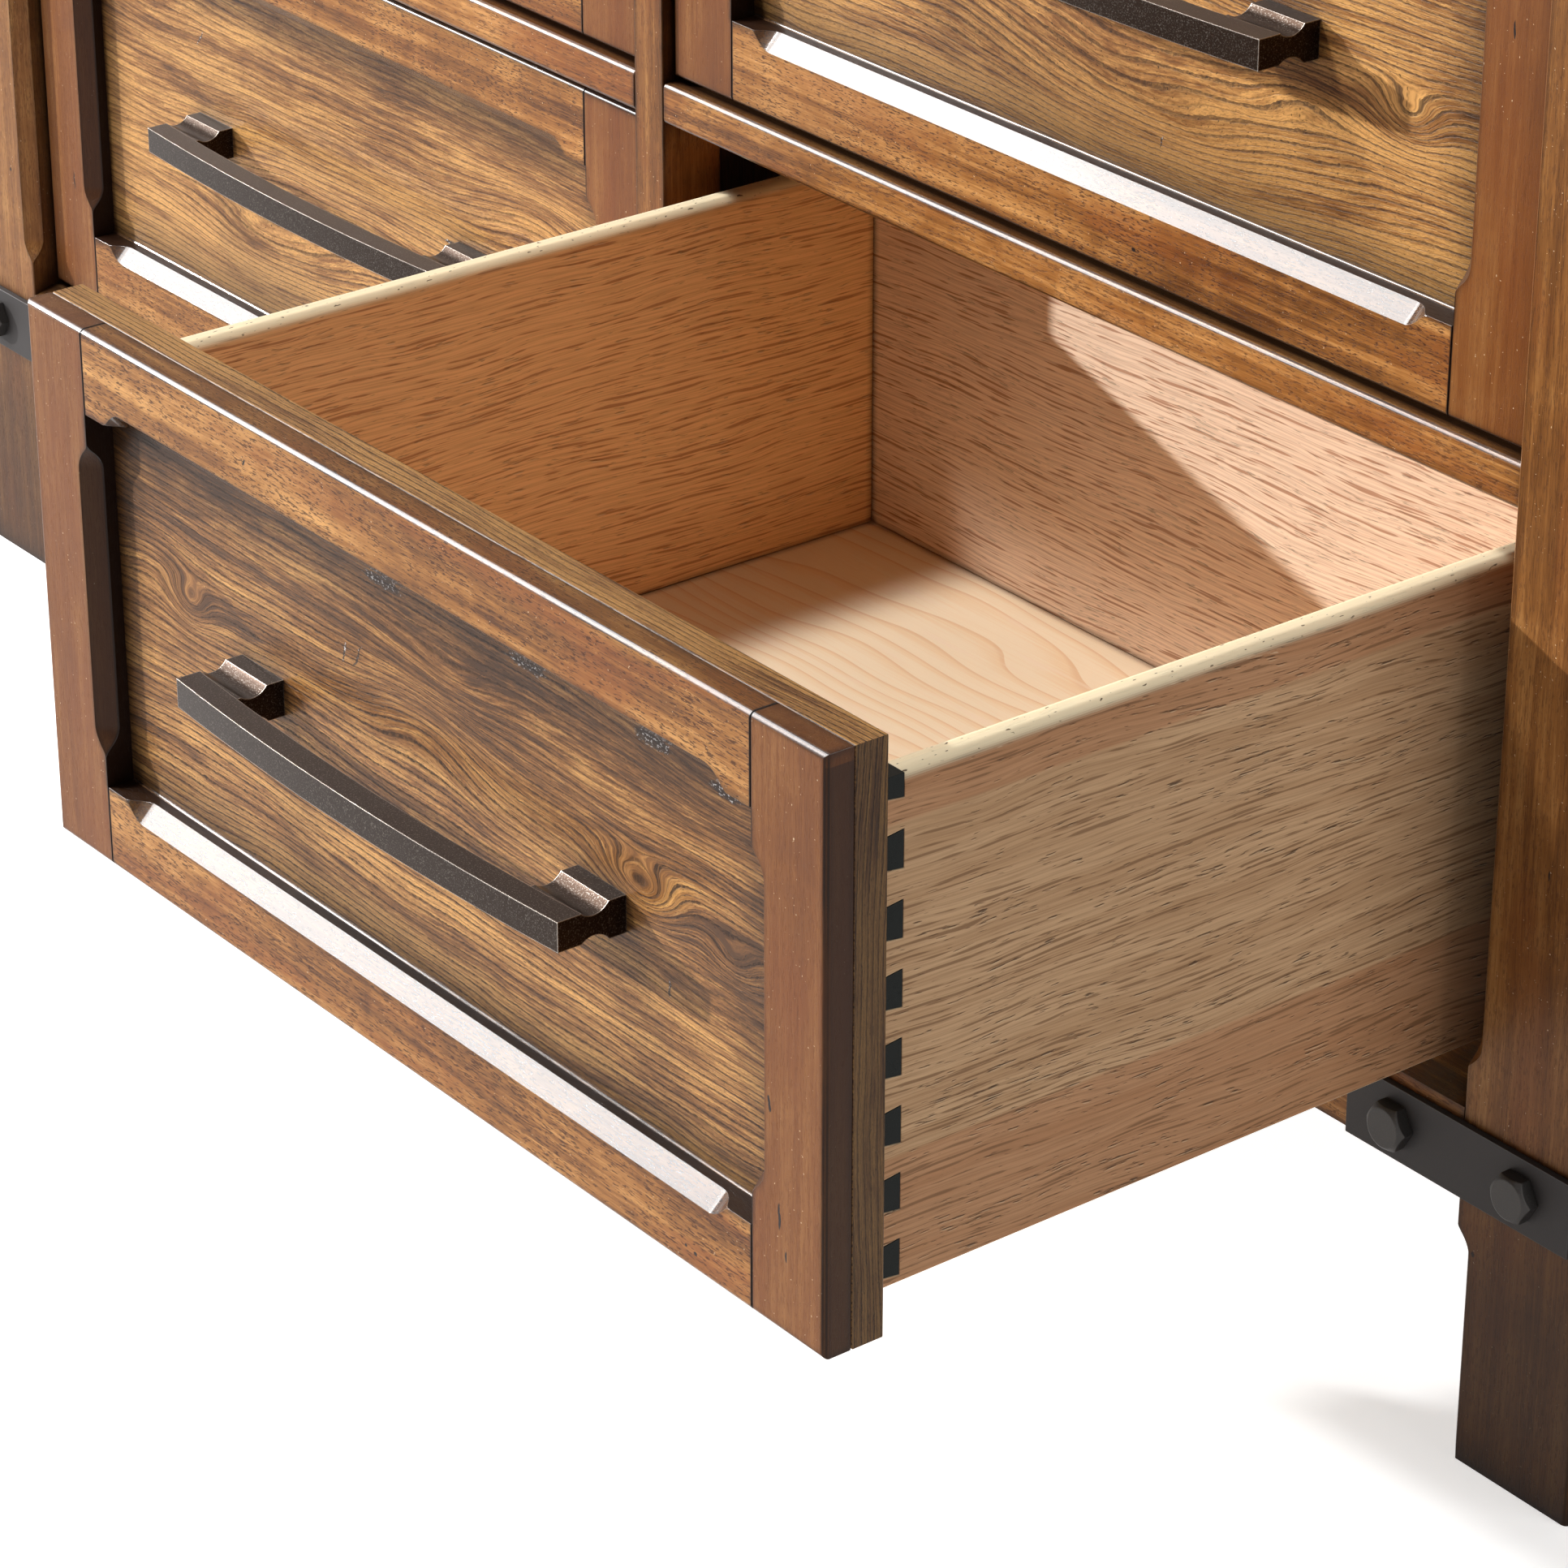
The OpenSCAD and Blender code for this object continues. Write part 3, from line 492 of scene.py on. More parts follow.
@dataclass(frozen=True)
class GlazedWood:
    """Stained and glazed wood of the posts, rails and stiles.

    Attributes:
        pale: Lightest tone of the wood.
        mid: Main tone.
        deep: Dark tone of the late wood.
        warm: Reddish tone of some patches.
        vein: Tone of thin dark veins.
        glaze: Tone of the glaze on edges, and of the painted shade in hollows, reveals and at the feet.
        pore: Tone of the open pores.
        char: Tone of the dents.
        speck: Tone of tiny pale specks.
        edge: How far the glaze reaches from an edge, in metres.
        upright_tone: How much darker upright pieces are.
        stile_tone: How much darker the stiles of a drawer are.
        stile: Reddish dark tone of the stiles.
        foot_shade: Share of painted shade at the feet, in the glaze tone, and the heights between which it fades, in
            mm.
    """

    pale: Colour = stain(206, 152, 90)
    mid: Colour = stain(151, 100, 51)
    deep: Colour = stain(88, 53, 27)
    warm: Colour = stain(140, 80, 40)
    vein: Colour = stain(58, 33, 16)
    glaze: Colour = stain(33, 18, 10)
    pore: Colour = stain(58, 28, 13)
    char: Colour = stain(34, 28, 27)
    speck: Colour = stain(222, 196, 160)
    edge: float = 0.0060
    upright_tone: float = 0.40
    stile_tone: float = 0.70
    stile: Colour = stain(104, 58, 29)
    foot_shade: Triple = (0.66, 70.0, 160.0)

    def make(
        self,
        name: str,
        run: GrainRun,
        plan: FrontPlan | None = None,
        dents: tuple[Streak, ...] = (),
        pored: float = 1.0,
    ) -> Material:
        """Make the finish for pieces whose fibres run one way.

        Args:
            name: Name of the material.
            run: The way the fibres run.
            plan: The drawer front whose stiles stand upright in it, or None.
            dents: Charcoal dents in the front face.
            pored: How much the pores show.

        Returns:
            The material.
        """
        sheet = NodeSheet(name)
        side, _, up = sheet.parts(sheet.place)
        if plan is None:
            colour, height = self.layers(sheet, run, pored)
            if run is GrainRun.HEIGHT:
                colour = sheet.blend(self.upright_tone, colour, self.deep)
        else:
            side, up = sheet.minus(side, plan.middle), sheet.minus(up, plan.foot)
            apart = sheet.math("ABSOLUTE", side)
            upright = sheet.above(apart, plan.joint)
            level = self.layers(sheet, GrainRun.WIDTH, pored)
            tall = self.layers(sheet, GrainRun.HEIGHT, 0.35)
            colour = sheet.blend(upright, level[0], tall[0])
            height = sheet.mix_number(upright, level[1], tall[1])
            colour = sheet.blend(sheet.times(upright, self.stile_tone), colour, self.stile)
        if dents:
            colour = sheet.blend(Streak.draw_all(dents, Face(sheet, side, up), 1.2), colour, self.char)
        grit = sheet.grain(sheet.place, (0.9, 0.9, 0.9), 1.0)
        colour = sheet.blend(sheet.between(grit, 0.775, 0.80, 0.0, 0.8), colour, self.speck)
        patch = sheet.grain(sheet.place, (0.02, 0.02, 0.02), 3.0, 0.6)
        eased = sheet.eased()
        glaze = sheet.times(sheet.most(sheet.arris(self.edge), eased), sheet.between(patch, 0.3, 0.65, 0.45, 0.92))
        colour = sheet.blend(glaze, colour, self.glaze)
        if plan is not None:
            colour = self.glaze_joints_and_shade(sheet, plan, colour, apart, up)
        elif run is GrainRun.HEIGHT:
            # Painted shade: darker towards the floor.
            share, low, high = self.foot_shade
            colour = sheet.blend(sheet.between(up, low, high, share, 0.0), colour, self.glaze)
        # Painted shade in corners and recesses, in the glaze tone.
        colour = sheet.blend(sheet.crevice_shade(0.018, 0.92), colour, self.glaze)
        sloped = sheet.chamfered()
        rough = sheet.mix_number(sloped, sheet.between(height, 0.2, 0.8, 0.44, 0.32), 0.14)
        upper = sheet.between(sheet.facing()[2], 0.15, 0.3)
        coat = sheet.most(sheet.times(eased, sheet.times(upper, 0.85)), sloped)
        return sheet.close(colour, rough, sheet.bump(height, 0.00012, 0.6), shine=0.14, coat=coat)

    def glaze_joints_and_shade(self, sheet: NodeSheet, plan: FrontPlan, colour: Feed, apart: Feed, up: Feed) -> Socket:
        """Darken the joint lines of a drawer's frame, and paint shade on the faces that turn from its front: reveals,
        chamfers, edges and sides.

        Args:
            sheet: The material's nodes.
            plan: Where the parts of the front lie.
            colour: The wood so far.
            apart: Distance from the middle of the front, in mm.
            up: Height above its lower edge, in mm.

        Returns:
            The glazed colour.
        """
        colour = sheet.blend(sheet.between(sheet.apart(apart, plan.joint), 0.4, 1.1, 1.0, 0.0), colour, self.glaze)
        # Painted shade: faces turned from the front take the glaze tone, deepest in the reveals round the window and on
        # the sides, less on the upper edge.
        _, square, _ = sheet.facing()
        turned = sheet.between(square, 0.75, 0.9, 1.0, 0.0)
        hollow = sheet.between(square, 0.3, 0.6, 1.0, 0.0)
        inside = sheet.times(sheet.below(apart, plan.joint + 3.0), sheet.above(up, plan.window_low))
        inside = sheet.times(inside, sheet.below(up, plan.window_high))
        dark = sheet.scaled(sheet.times(hollow, inside), 0.12, 0.84)
        sides = sheet.below(square, 0.2)
        dark = sheet.minus(dark, sheet.times(sheet.above(up, plan.crest), 0.32))
        dark = sheet.times(dark, sheet.scaled(sides, 0.15, 0.85))
        return sheet.blend(sheet.times(dark, turned), colour, self.glaze)

    def layers(self, sheet: NodeSheet, run: GrainRun, pored: float) -> tuple[Socket, Socket]:
        """Lay the colours of the bare wood over each other.

        Args:
            sheet: The material's nodes.
            run: The way the fibres run.
            pored: How much the pores show.

        Returns:
            The colour, and the height for the bump.
        """
        spot = sheet.place
        broad = sheet.grain(spot, run.stretch(230.0, 15.0), 4.0, 0.58, 0.4)
        streaks = sheet.grain(spot, run.stretch(85.0, 2.8), 4.0, 0.62, 0.2)
        fibres = sheet.grain(spot, run.stretch(14.0, 0.6), 3.0, 0.65)
        cloud = sheet.grain(spot, run.stretch(30.0, 34.0), 3.0, 0.6, 0.8)
        tone = sheet.scaled(broad, 0.36, sheet.times(streaks, 0.28))
        tone = sheet.plus(tone, sheet.scaled(fibres, 0.18, sheet.times(cloud, 0.18)))
        spread = 0.14 if run is GrainRun.HEIGHT else 0.105
        tone = sheet.between(tone, 0.5 - spread, 0.5 + spread, soft=False)
        colour = sheet.ramp(tone, self.deep, 0.48, self.mid, self.pale)
        red = sheet.grain(spot, run.stretch(110.0, 26.0), 2.0, 0.5, 0.5)
        colour = sheet.blend(sheet.between(red, 0.50, 0.68, 0.0, 0.5), colour, self.warm)
        veins = sheet.between(sheet.apart(streaks, 0.5), 0.004, 0.022, 1.0, 0.0)
        here = sheet.between(broad, 0.40, 0.56, 0.55, 0.05)
        colour = sheet.blend(sheet.times(veins, here), colour, self.vein)
        short = sheet.grain(spot, run.stretch(3.6, 0.62), 2.0, 0.6)
        crowd = sheet.between(cloud, 0.36, 0.6, 0.012, -0.05)
        pores = sheet.between(sheet.minus(short, crowd), 0.585, 0.635)
        colour = sheet.blend(sheet.times(pores, 0.8 * pored), colour, self.pore)
        height = sheet.minus(sheet.scaled(fibres, 0.5, 0.35), sheet.times(pores, 0.5))
        return colour, height


@dataclass(frozen=True)
class FiguredVeneer:
    """Veneer with thin dark growth lines that swirl round knots.

    Attributes:
        along: The way the growth lines run.
        over: The way across them on the face.
        origin: Place of the pattern's zero along, over and through the board, in mm.
        swirls: Places where the lines bulge.
        streaks: Dark marks.
        gold: Light tone between the lines.
        brown: Main tone.
        umber: Dark tone of some zones.
        line: Tone of the growth lines.
        smear: Tone of the dark marks.
        smear_glint: Tone of the pale specks in the marks, painted glints.
        pitch: Distance between growth lines, in mm.
        light: How much more of the light tone there is, and how much fainter the lines, partly painted sheen.
        fall: How much lighter it gets for each mm downwards.
        level: Height where the fall changes nothing, in mm.
        edge: How much finer the lines are on the board's edges, and how far off their pattern lies, in mm.
        field: Half length, lower and upper edge of the board that shows, and reach of the painted shade near the frame,
            in mm.
    """

    along: GrainRun
    over: GrainRun
    origin: Triple
    swirls: tuple[Swirl, ...] = ()
    streaks: tuple[Streak, ...] = ()
    gold: Colour = stain(216, 162, 96)
    brown: Colour = stain(146, 98, 54)
    umber: Colour = stain(80, 51, 28)
    line: Colour = stain(26, 15, 8)
    smear: Colour = stain(44, 36, 33)
    smear_glint: Colour = stain(214, 208, 206)
    pitch: float = 3.7
    light: float = 0.0
    fall: float = 0.0
    level: float = 115.0
    edge: tuple[float, float] = (1.4, 400.0)
    field: tuple[float, float, float, float] | None = None

    def make(self, name: str) -> Material:
        """Make the veneer of one board.

        Args:
            name: Name of the material.

        Returns:
            The material.
        """
        sheet = NodeSheet(name)
        face = self.unfold(sheet)
        lift, wide = self.growth(face)
        turns = sheet.times(lift, 1 / self.pitch)

        def band(reach: float, height: float, layer: float, detail: float = 3.0) -> Socket:
            """Make a pattern that follows the growth lines, with patches of this size in mm."""
            spot = sheet.join(sheet.times(face.across, 1 / reach), sheet.times(lift, 1 / height), layer)
            return sheet.noise(spot, detail, 0.6)

        tone = sheet.scaled(band(120.0, 13.0, self.origin[1] / 40.0), 0.40, sheet.times(band(13.0, 0.8, 3.0), 0.32))
        tone = sheet.scaled(band(60.0, 3.0, 7.0), 0.28, tone)
        if self.fall:
            tone = sheet.scaled(face.up, -self.fall, sheet.plus(tone, self.level * self.fall))
        # A lighter board, partly a painted sheen.
        tone = sheet.between(tone, 0.41 - self.light, 0.60 - self.light, soft=False)
        colour = sheet.ramp(tone, self.umber, 0.42, self.brown, self.gold)
        near = sheet.math("FRACT", turns)
        ring = sheet.math("FLOOR", turns)
        colour = sheet.blend(sheet.between(near, 0.45, 1.0, 0.0, 0.36), colour, self.umber)
        wander = sheet.noise(sheet.join(sheet.times(face.across, 1 / 26.0), ring, 0.0), 4.0, 0.72)
        main = sheet.between(sheet.minus(near, sheet.scaled(wander, -0.32, 0.94)), 0.0, 0.05)
        half = sheet.math("FRACT", sheet.scaled(turns, 2.0, 0.37))
        thin = sheet.between(sheet.apart(half, 0.5), 0.38, 0.46, 0.0, 0.75)
        beads = sheet.between(band(2.4, 0.55, 11.0, 2.0), 0.38, 0.56, 0.45, 1.0)
        calm = sheet.between(wide, 0.44, 0.66, 1.0, 0.6)
        strong = sheet.times(sheet.between(wander, 0.30, 0.5, 0.6, 1.0), sheet.times(beads, calm))
        lines = sheet.times(sheet.most(main, thin), strong)
        colour = sheet.blend(sheet.times(lines, 0.92 - 6.0 * self.light), colour, self.line)
        fibres = sheet.between(band(3.0, 0.22, 23.0, 2.0), 0.42, 0.66, 0.0, 0.42)
        colour = sheet.blend(fibres, colour, self.umber)
        dots = sheet.between(band(1.8, 0.5, 19.0, 1.0), 0.66, 0.72, 0.0, 0.75)
        colour = sheet.blend(dots, colour, self.line)
        if self.streaks:
            marks = Streak.draw_all(self.streaks, face, 3.0)
            grit = face.noise(0.6, 1.1, 0.0, 2.0, 0.6)
            colour = sheet.blend(sheet.times(marks, 0.85), colour, self.smear)
            # Pale specks in the marks are painted glints.
            colour = sheet.blend(sheet.times(marks, sheet.between(grit, 0.56, 0.64)), colour, self.smear_glint)
        # Darker end grain, and painted shade on the face near the frame.
        colour = sheet.blend(self.end_grain_and_frame_shade(face), colour, self.line)
        # Painted shade in the corners along the frame.
        colour = sheet.blend(sheet.crevice_shade(0.012, 0.72), colour, self.line)
        height = sheet.minus(0.8, sheet.times(lines, 0.6))
        rough = sheet.between(lines, 0.0, 1.0, 0.34, 0.52)
        return sheet.close(colour, rough, sheet.bump(height, 0.00018, 0.8), shine=0.16)

    def end_grain_and_frame_shade(self, face: Face) -> Socket:
        """Darken the ends of the board, and paint shade on its face near the frame.

        Args:
            face: The board's face.

        Returns:
            How much darkening lies there: darker end grain, and painted shade near the frame.
        """
        sheet = face.sheet
        at_end = sheet.times(sheet.above(self.along.pick(sheet.facing()), SQUARE_ON), 0.78)
        if self.field is None:
            return at_end
        half, low, high, reach = self.field
        inward = sheet.minus(half, sheet.math("ABSOLUTE", face.across))
        inward = sheet.least(inward, sheet.minus(face.up, low))
        inward = sheet.least(inward, sheet.minus(high, face.up))
        inward = sheet.scaled(face.noise(0.02, 0.03, 5.0, 3.0, 0.6), -reach, inward)
        near = sheet.between(inward, -0.3 * reach, 0.7 * reach, 0.42, 0.0)
        on_face = sheet.below(face.up, high + 20.0)  # The edges of the board are laid out far above this.
        return sheet.most(at_end, sheet.times(near, on_face))

    def unfold(self, sheet: NodeSheet) -> Face:
        """Lay the board's faces out flat, so that its edges show long fibres and its ends show layers.

        Args:
            sheet: The material's nodes.

        Returns:
            The face, along the growth lines and over them.
        """
        parts = sheet.parts(sheet.place)
        square = sheet.facing()
        through = next(way for way in GrainRun if way not in (self.along, self.over))
        along = sheet.minus(self.along.pick(parts), self.origin[0])
        over = sheet.minus(self.over.pick(parts), self.origin[1])
        deep = sheet.scaled(sheet.minus(through.pick(parts), self.origin[2]), *self.edge)
        at_end = sheet.above(self.along.pick(square), SQUARE_ON)
        at_edge = sheet.most(at_end, sheet.above(self.over.pick(square), SQUARE_ON))
        return Face(sheet, sheet.mix_number(at_end, along, over), sheet.mix_number(at_edge, over, deep))

    def growth(self, face: Face) -> tuple[Socket, Socket]:
        """Lay out the growth lines.

        Args:
            face: The board's face.

        Returns:
            A height in mm that each line follows, and a broad pattern of zones.
        """
        sheet = face.sheet
        seed = self.origin[0] / 37.0 + self.origin[1] / 23.0
        wide = face.noise(1 / 230.0, 1 / 75.0, seed, 2.0, 0.5)
        small = face.noise(1 / 70.0, 1 / 16.0, seed, 3.0, 0.5)
        ragged = sheet.scaled(face.noise(0.25, 0.8, 31.0, 2.0, 0.6), 1.1, face.up)
        total = sheet.scaled(wide, 24.0, sheet.scaled(small, 4.0, ragged))
        for swirl in self.swirls:
            total = sheet.plus(total, swirl.shift(Face(sheet, face.across, ragged)))
        return total, wide


@dataclass(frozen=True)
class BoxOak:
    """Oak of the drawer boxes, with fine brown strokes and dark pore dashes.

    Attributes:
        run: The way the fibres run.
        pale: Light tone.
        tan: Main tone.
        brown: Tone of the strokes.
        red: Tone of the boards at the top and bottom of a side.
        warm: Tone of the faces inside the box, painted warm bounce light.
        pore: Tone of the pore dashes.
        pore_glint: Tone of the pale lines beside pores, painted highlights.
        top_light: Pale tone painted on faces that look up, painted light.
        pin: Tone of the glazed dovetail pins.
        low_joint: Height of the glue line of the lowest board on its drawer, in mm.
        high_joint: Height of the glue line of the uppermost board, in mm.
    """

    run: GrainRun
    pale: Colour = stain(190, 155, 118)
    tan: Colour = stain(174, 138, 102)
    brown: Colour = stain(112, 80, 54)
    red: Colour = stain(160, 100, 64)
    warm: Colour = stain(240, 190, 134)
    pore: Colour = stain(64, 42, 27)
    pore_glint: Colour = stain(206, 182, 150)
    top_light: Colour = stain(238, 224, 190)
    pin: Colour = stain(13, 16, 14)
    low_joint: float = 59.0
    high_joint: float = 187.0

    def strokes(self, sheet: NodeSheet, along: Feed, up: Feed) -> Socket:
        """Lay out the brown strokes, in rows that follow the growth lines.

        Args:
            sheet: The material's nodes.
            along: Place along the fibres, in mm.
            up: Height on the board, in mm, moved with its lines.

        Returns:
            1 on a stroke, 0 between strokes.
        """
        total: Feed = 0.0
        for pitch, length, seed in ((3.1, 46.0, 0.0), (2.3, 30.0, 9.0)):
            rows = sheet.scaled(up, 1 / pitch, seed)
            row = sheet.math("FLOOR", rows)
            off = sheet.apart(sheet.math("FRACT", rows), 0.5)
            spot = sheet.join(sheet.times(along, 1 / length), sheet.times(row, 1.71), seed)
            long = sheet.between(sheet.noise(spot, 2.0, 0.55), 0.46, 0.66, 0.0, 0.28)
            total = sheet.most(total, sheet.between(sheet.minus(long, off), 0.0, 0.16))
            total = sheet.most(total, sheet.between(off, 0.03, 0.20, 0.30, 0.0))
        return total

    def make(self, name: str, bounce_share: float, pinned: bool = False, sloped: float = 0.0) -> Material:
        """Make the finish.

        Args:
            name: Name of the material.
            bounce_share: Share of painted bounce light that makes the board look orange inside the box, from 0 to 1.
            pinned: Whether the board's ends are glazed black pins.
            sloped: How far the strokes climb, in mm per mm.

        Returns:
            The material.
        """
        sheet = NodeSheet(name)
        spot = sheet.place
        parts = sheet.parts(spot)
        stretch = self.run.stretch
        drift = sheet.grain(spot, stretch(260.0, 90.0), 2.0, 0.5)
        wave = sheet.grain(spot, stretch(55.0, 16.0), 2.0, 0.55)
        lift = sheet.scaled(drift, 24.0, sheet.scaled(wave, 4.0, -14.0))
        lift = sheet.scaled(self.run.pick(parts), sloped, lift)
        bent = sheet.vector("ADD", spot, sheet.join(0.0, 0.0, lift))
        row = sheet.math("MODULO", sheet.minus(parts[2], ROW_FOOT), ROW_PITCH)
        upper = sheet.between(row, self.high_joint - 1.0, self.high_joint + 1.0)
        lower = sheet.between(row, self.low_joint - 1.0, self.low_joint + 1.0, 1.0, 0.0)
        broad = sheet.grain(bent, stretch(130.0, 9.0), 3.0, 0.6, 0.2)
        colour = sheet.blend(sheet.between(broad, 0.36, 0.64), self.tan, self.pale)
        colour = sheet.blend(sheet.times(sheet.most(upper, lower), 0.45), colour, self.red)
        # Painted bounce light: faces inside the box take the warm tone, and their strokes a redder one.
        apart = sheet.apart(sheet.math("ABSOLUTE", parts[0]), COLUMN)
        inside = sheet.times(sheet.below(apart, BOX_INSIDE + 6.0), bounce_share)
        colour = sheet.blend(inside, colour, self.warm)
        fibre = sheet.grain(bent, stretch(24.0, 0.6), 2.0, 0.5)
        colour = sheet.blend(sheet.between(fibre, 0.40, 0.70, 0.0, 0.22), colour, self.brown)
        stroke = self.strokes(sheet, self.run.pick(parts), sheet.parts(bent)[2])
        stroke = sheet.times(stroke, sheet.scaled(inside, -0.04, 0.74))
        colour = sheet.blend(stroke, colour, sheet.blend(inside, self.brown, self.red))
        crowd = sheet.between(sheet.grain(bent, stretch(60.0, 14.0), 2.0, 0.6), 0.38, 0.62, 0.03, -0.035)
        dash_spot = sheet.vector("MULTIPLY", bent, stretch(11.0, 0.72))
        # Pale lines beside the pores are painted highlights.
        beside = sheet.noise(sheet.vector("ADD", dash_spot, (0.0, 0.0, 0.75)), 2.0, 0.6)
        pores = sheet.between(sheet.minus(sheet.noise(dash_spot, 2.0, 0.6), crowd), 0.64, 0.69)
        colour = sheet.blend(sheet.between(sheet.minus(beside, crowd), 0.68, 0.71, 0.0, 0.5), colour, self.pore_glint)
        colour = sheet.blend(sheet.times(pores, sheet.scaled(inside, -0.45, 0.82)), colour, self.pore)
        # Painted light: faces that look up are paler.
        top = sheet.between(sheet.facing()[2], 0.25, 0.8, 0.0, 0.85)
        colour = sheet.blend(top, colour, self.top_light)
        tiny = sheet.between(sheet.grain(spot, (0.75, 0.3, 0.75), 1.0), 0.70, 0.74)
        colour = sheet.blend(sheet.times(tiny, top), colour, self.pore)
        # Painted shade in the corners, in the pore tone.
        colour = sheet.blend(sheet.crevice_shade(0.004, 0.8), colour, self.pore)
        if pinned:
            colour = sheet.blend(sheet.above(apart, BOX_INSIDE), colour, self.pin)
        height = sheet.minus(0.8, sheet.times(pores, 0.7))
        return sheet.close(colour, 0.5, sheet.bump(height, 0.0002, 0.8), shine=0.12)


@dataclass(frozen=True)
class BottomBoard:
    """Pale bottom of a drawer, with thin arched lines and small knots.

    Attributes:
        pale: Light tone.
        tan: Tone that the wood deepens to towards each line.
        line: Tone of the thin lines.
        knot: Tone of the knots.
        sheen_streak: Tone of the pale streaks, painted sheen.
        pitch: Distance between the lines, in mm.
    """

    pale: Colour = stain(252, 232, 200)
    tan: Colour = stain(247, 216, 176)
    line: Colour = stain(222, 172, 128)
    knot: Colour = stain(112, 62, 40)
    sheen_streak: Colour = stain(252, 228, 200)
    pitch: float = 11.0

    def make(self, name: str) -> Material:
        """Make the finish.

        Args:
            name: Name of the material.

        Returns:
            The material.
        """
        sheet = NodeSheet(name)
        side, deep, _ = sheet.parts(sheet.place)
        face = sheet.join(side, deep, 0.0)
        warp = sheet.grain(face, (1 / 300.0, 1 / 110.0, 1.0), 2.0, 0.5)
        near = sheet.math("FRACT", sheet.times(sheet.scaled(warp, 110.0, deep), 1 / self.pitch))
        fibres = sheet.grain(face, (1 / 55.0, 1 / 1.3, 1.0), 3.0, 0.6)
        tone = sheet.scaled(sheet.between(near, 0.35, 1.0), 0.3, sheet.times(fibres, 0.7))
        colour = sheet.blend(sheet.between(tone, 0.3, 0.75), self.pale, self.tan)
        colour = sheet.blend(sheet.between(near, 0.86, 0.97, 0.0, 0.36), colour, self.line)
        # Pale streaks are painted sheen.
        shimmer = sheet.grain(face, (1 / 70.0, 1 / 9.0, 1.0), 2.0, 0.5)
        colour = sheet.blend(sheet.between(shimmer, 0.58, 0.72, 0.0, 0.6), colour, self.sheen_streak)
        feeds = {"Vector": sheet.vector("MULTIPLY", face, (1 / 190.0, 1 / 120.0, 1.0)), "Scale": 1.0}
        far = sheet.add("ShaderNodeTexVoronoi", feeds, feature="F1").outputs["Distance"]
        colour = sheet.blend(sheet.between(far, 0.03, 0.12, 0.35, 0.0), colour, self.tan)
        colour = sheet.blend(sheet.between(far, 0.018, 0.035, 0.9, 0.0), colour, self.knot)
        # Painted shade in the corners, in the knot tone.
        colour = sheet.blend(sheet.crevice_shade(0.004, 0.7), colour, self.knot)
        return sheet.close(colour, 0.5, sheet.bump(fibres, 0.00006, 0.5), shine=0.12)


@dataclass(frozen=True)
class PlainWood:
    """Inner wood that shows little: runners, partition and back.

    Attributes:
        light: Light tone.
        dark: Dark tone.
        run: The way the fibres run.
        gloss: Roughness of the surface.
    """

    light: Colour
    dark: Colour
    run: GrainRun
    gloss: float = 0.55

    def make(self, name: str) -> Material:
        """Make the finish.

        Args:
            name: Name of the material.

        Returns:
            The material.
        """
        sheet = NodeSheet(name)
        broad = sheet.grain(sheet.place, self.run.stretch(200.0, 18.0), 4.0, 0.6, 0.6)
        fibres = sheet.grain(sheet.place, self.run.stretch(18.0, 1.1), 3.0, 0.6)
        tone = sheet.scaled(broad, 0.6, sheet.times(fibres, 0.4))
        colour = sheet.blend(sheet.between(tone, 0.38, 0.62), self.dark, self.light)
        short = sheet.grain(sheet.place, self.run.stretch(6.0, 0.7), 1.0)
        colour = sheet.blend(sheet.between(short, 0.62, 0.72, 0.0, 0.6), colour, self.dark)
        return sheet.close(colour, self.gloss, sheet.bump(fibres, 0.0001, 0.6), shine=0.14)


@dataclass(frozen=True)
class CastMetal:
    """Dark cast or rolled metal with a fine speckle and rubbed edges.

    Attributes:
        tone: Main tone.
        rub: Tone of the rubbed edges.
        gloss: Roughness of the flat parts.
        metal: How metallic it looks.
        speckle: Size of the speckle, in mm.
    """

    tone: Colour
    rub: Colour
    gloss: float
    metal: float = 1.0
    speckle: float = 0.6

    def make(self, name: str) -> Material:
        """Make the finish.

        Args:
            name: Name of the material.

        Returns:
            The material.
        """
        sheet = NodeSheet(name)
        grit = sheet.grain(sheet.place, (1 / self.speckle,) * 3, 3.0, 0.65)
        cloud = sheet.grain(sheet.place, (0.04,) * 3, 3.0, 0.6)
        worn = sheet.times(sheet.arris(0.0007), sheet.between(cloud, 0.3, 0.7, 0.6, 1.0))
        colour = sheet.blend(sheet.between(grit, 0.52, 0.74, 0.0, 0.22), self.tone, self.rub)
        colour = sheet.blend(worn, colour, self.rub)
        rough = sheet.mix_number(worn, sheet.scaled(grit, 0.22, self.gloss - 0.11), 0.2)
        return sheet.close(colour, rough, sheet.bump(grit, 0.00005, 0.6), metal=self.metal)


@dataclass(frozen=True)
class Lacquer:
    """Glossy settled lacquer over dark glaze.

    Attributes:
        tone: Dark tone under the lacquer.
        warm: Lighter tone of thin spots.
        gloss: Roughness.
    """

    tone: Colour = stain(70, 48, 32)
    warm: Colour = stain(120, 86, 54)
    gloss: float = 0.16

    def make(self, name: str) -> Material:
        """Make the finish.

        Args:
            name: Name of the material.

        Returns:
            The material.
        """
        sheet = NodeSheet(name)
        spots = sheet.grain(sheet.place, (1 / 9.0, 1.0, 1.0), 3.0, 0.6)
        colour = sheet.blend(sheet.between(spots, 0.4, 0.65), self.tone, self.warm)
        return sheet.close(colour, sheet.scaled(spots, 0.2, self.gloss - 0.06), shine=0.8, coat=1.0)


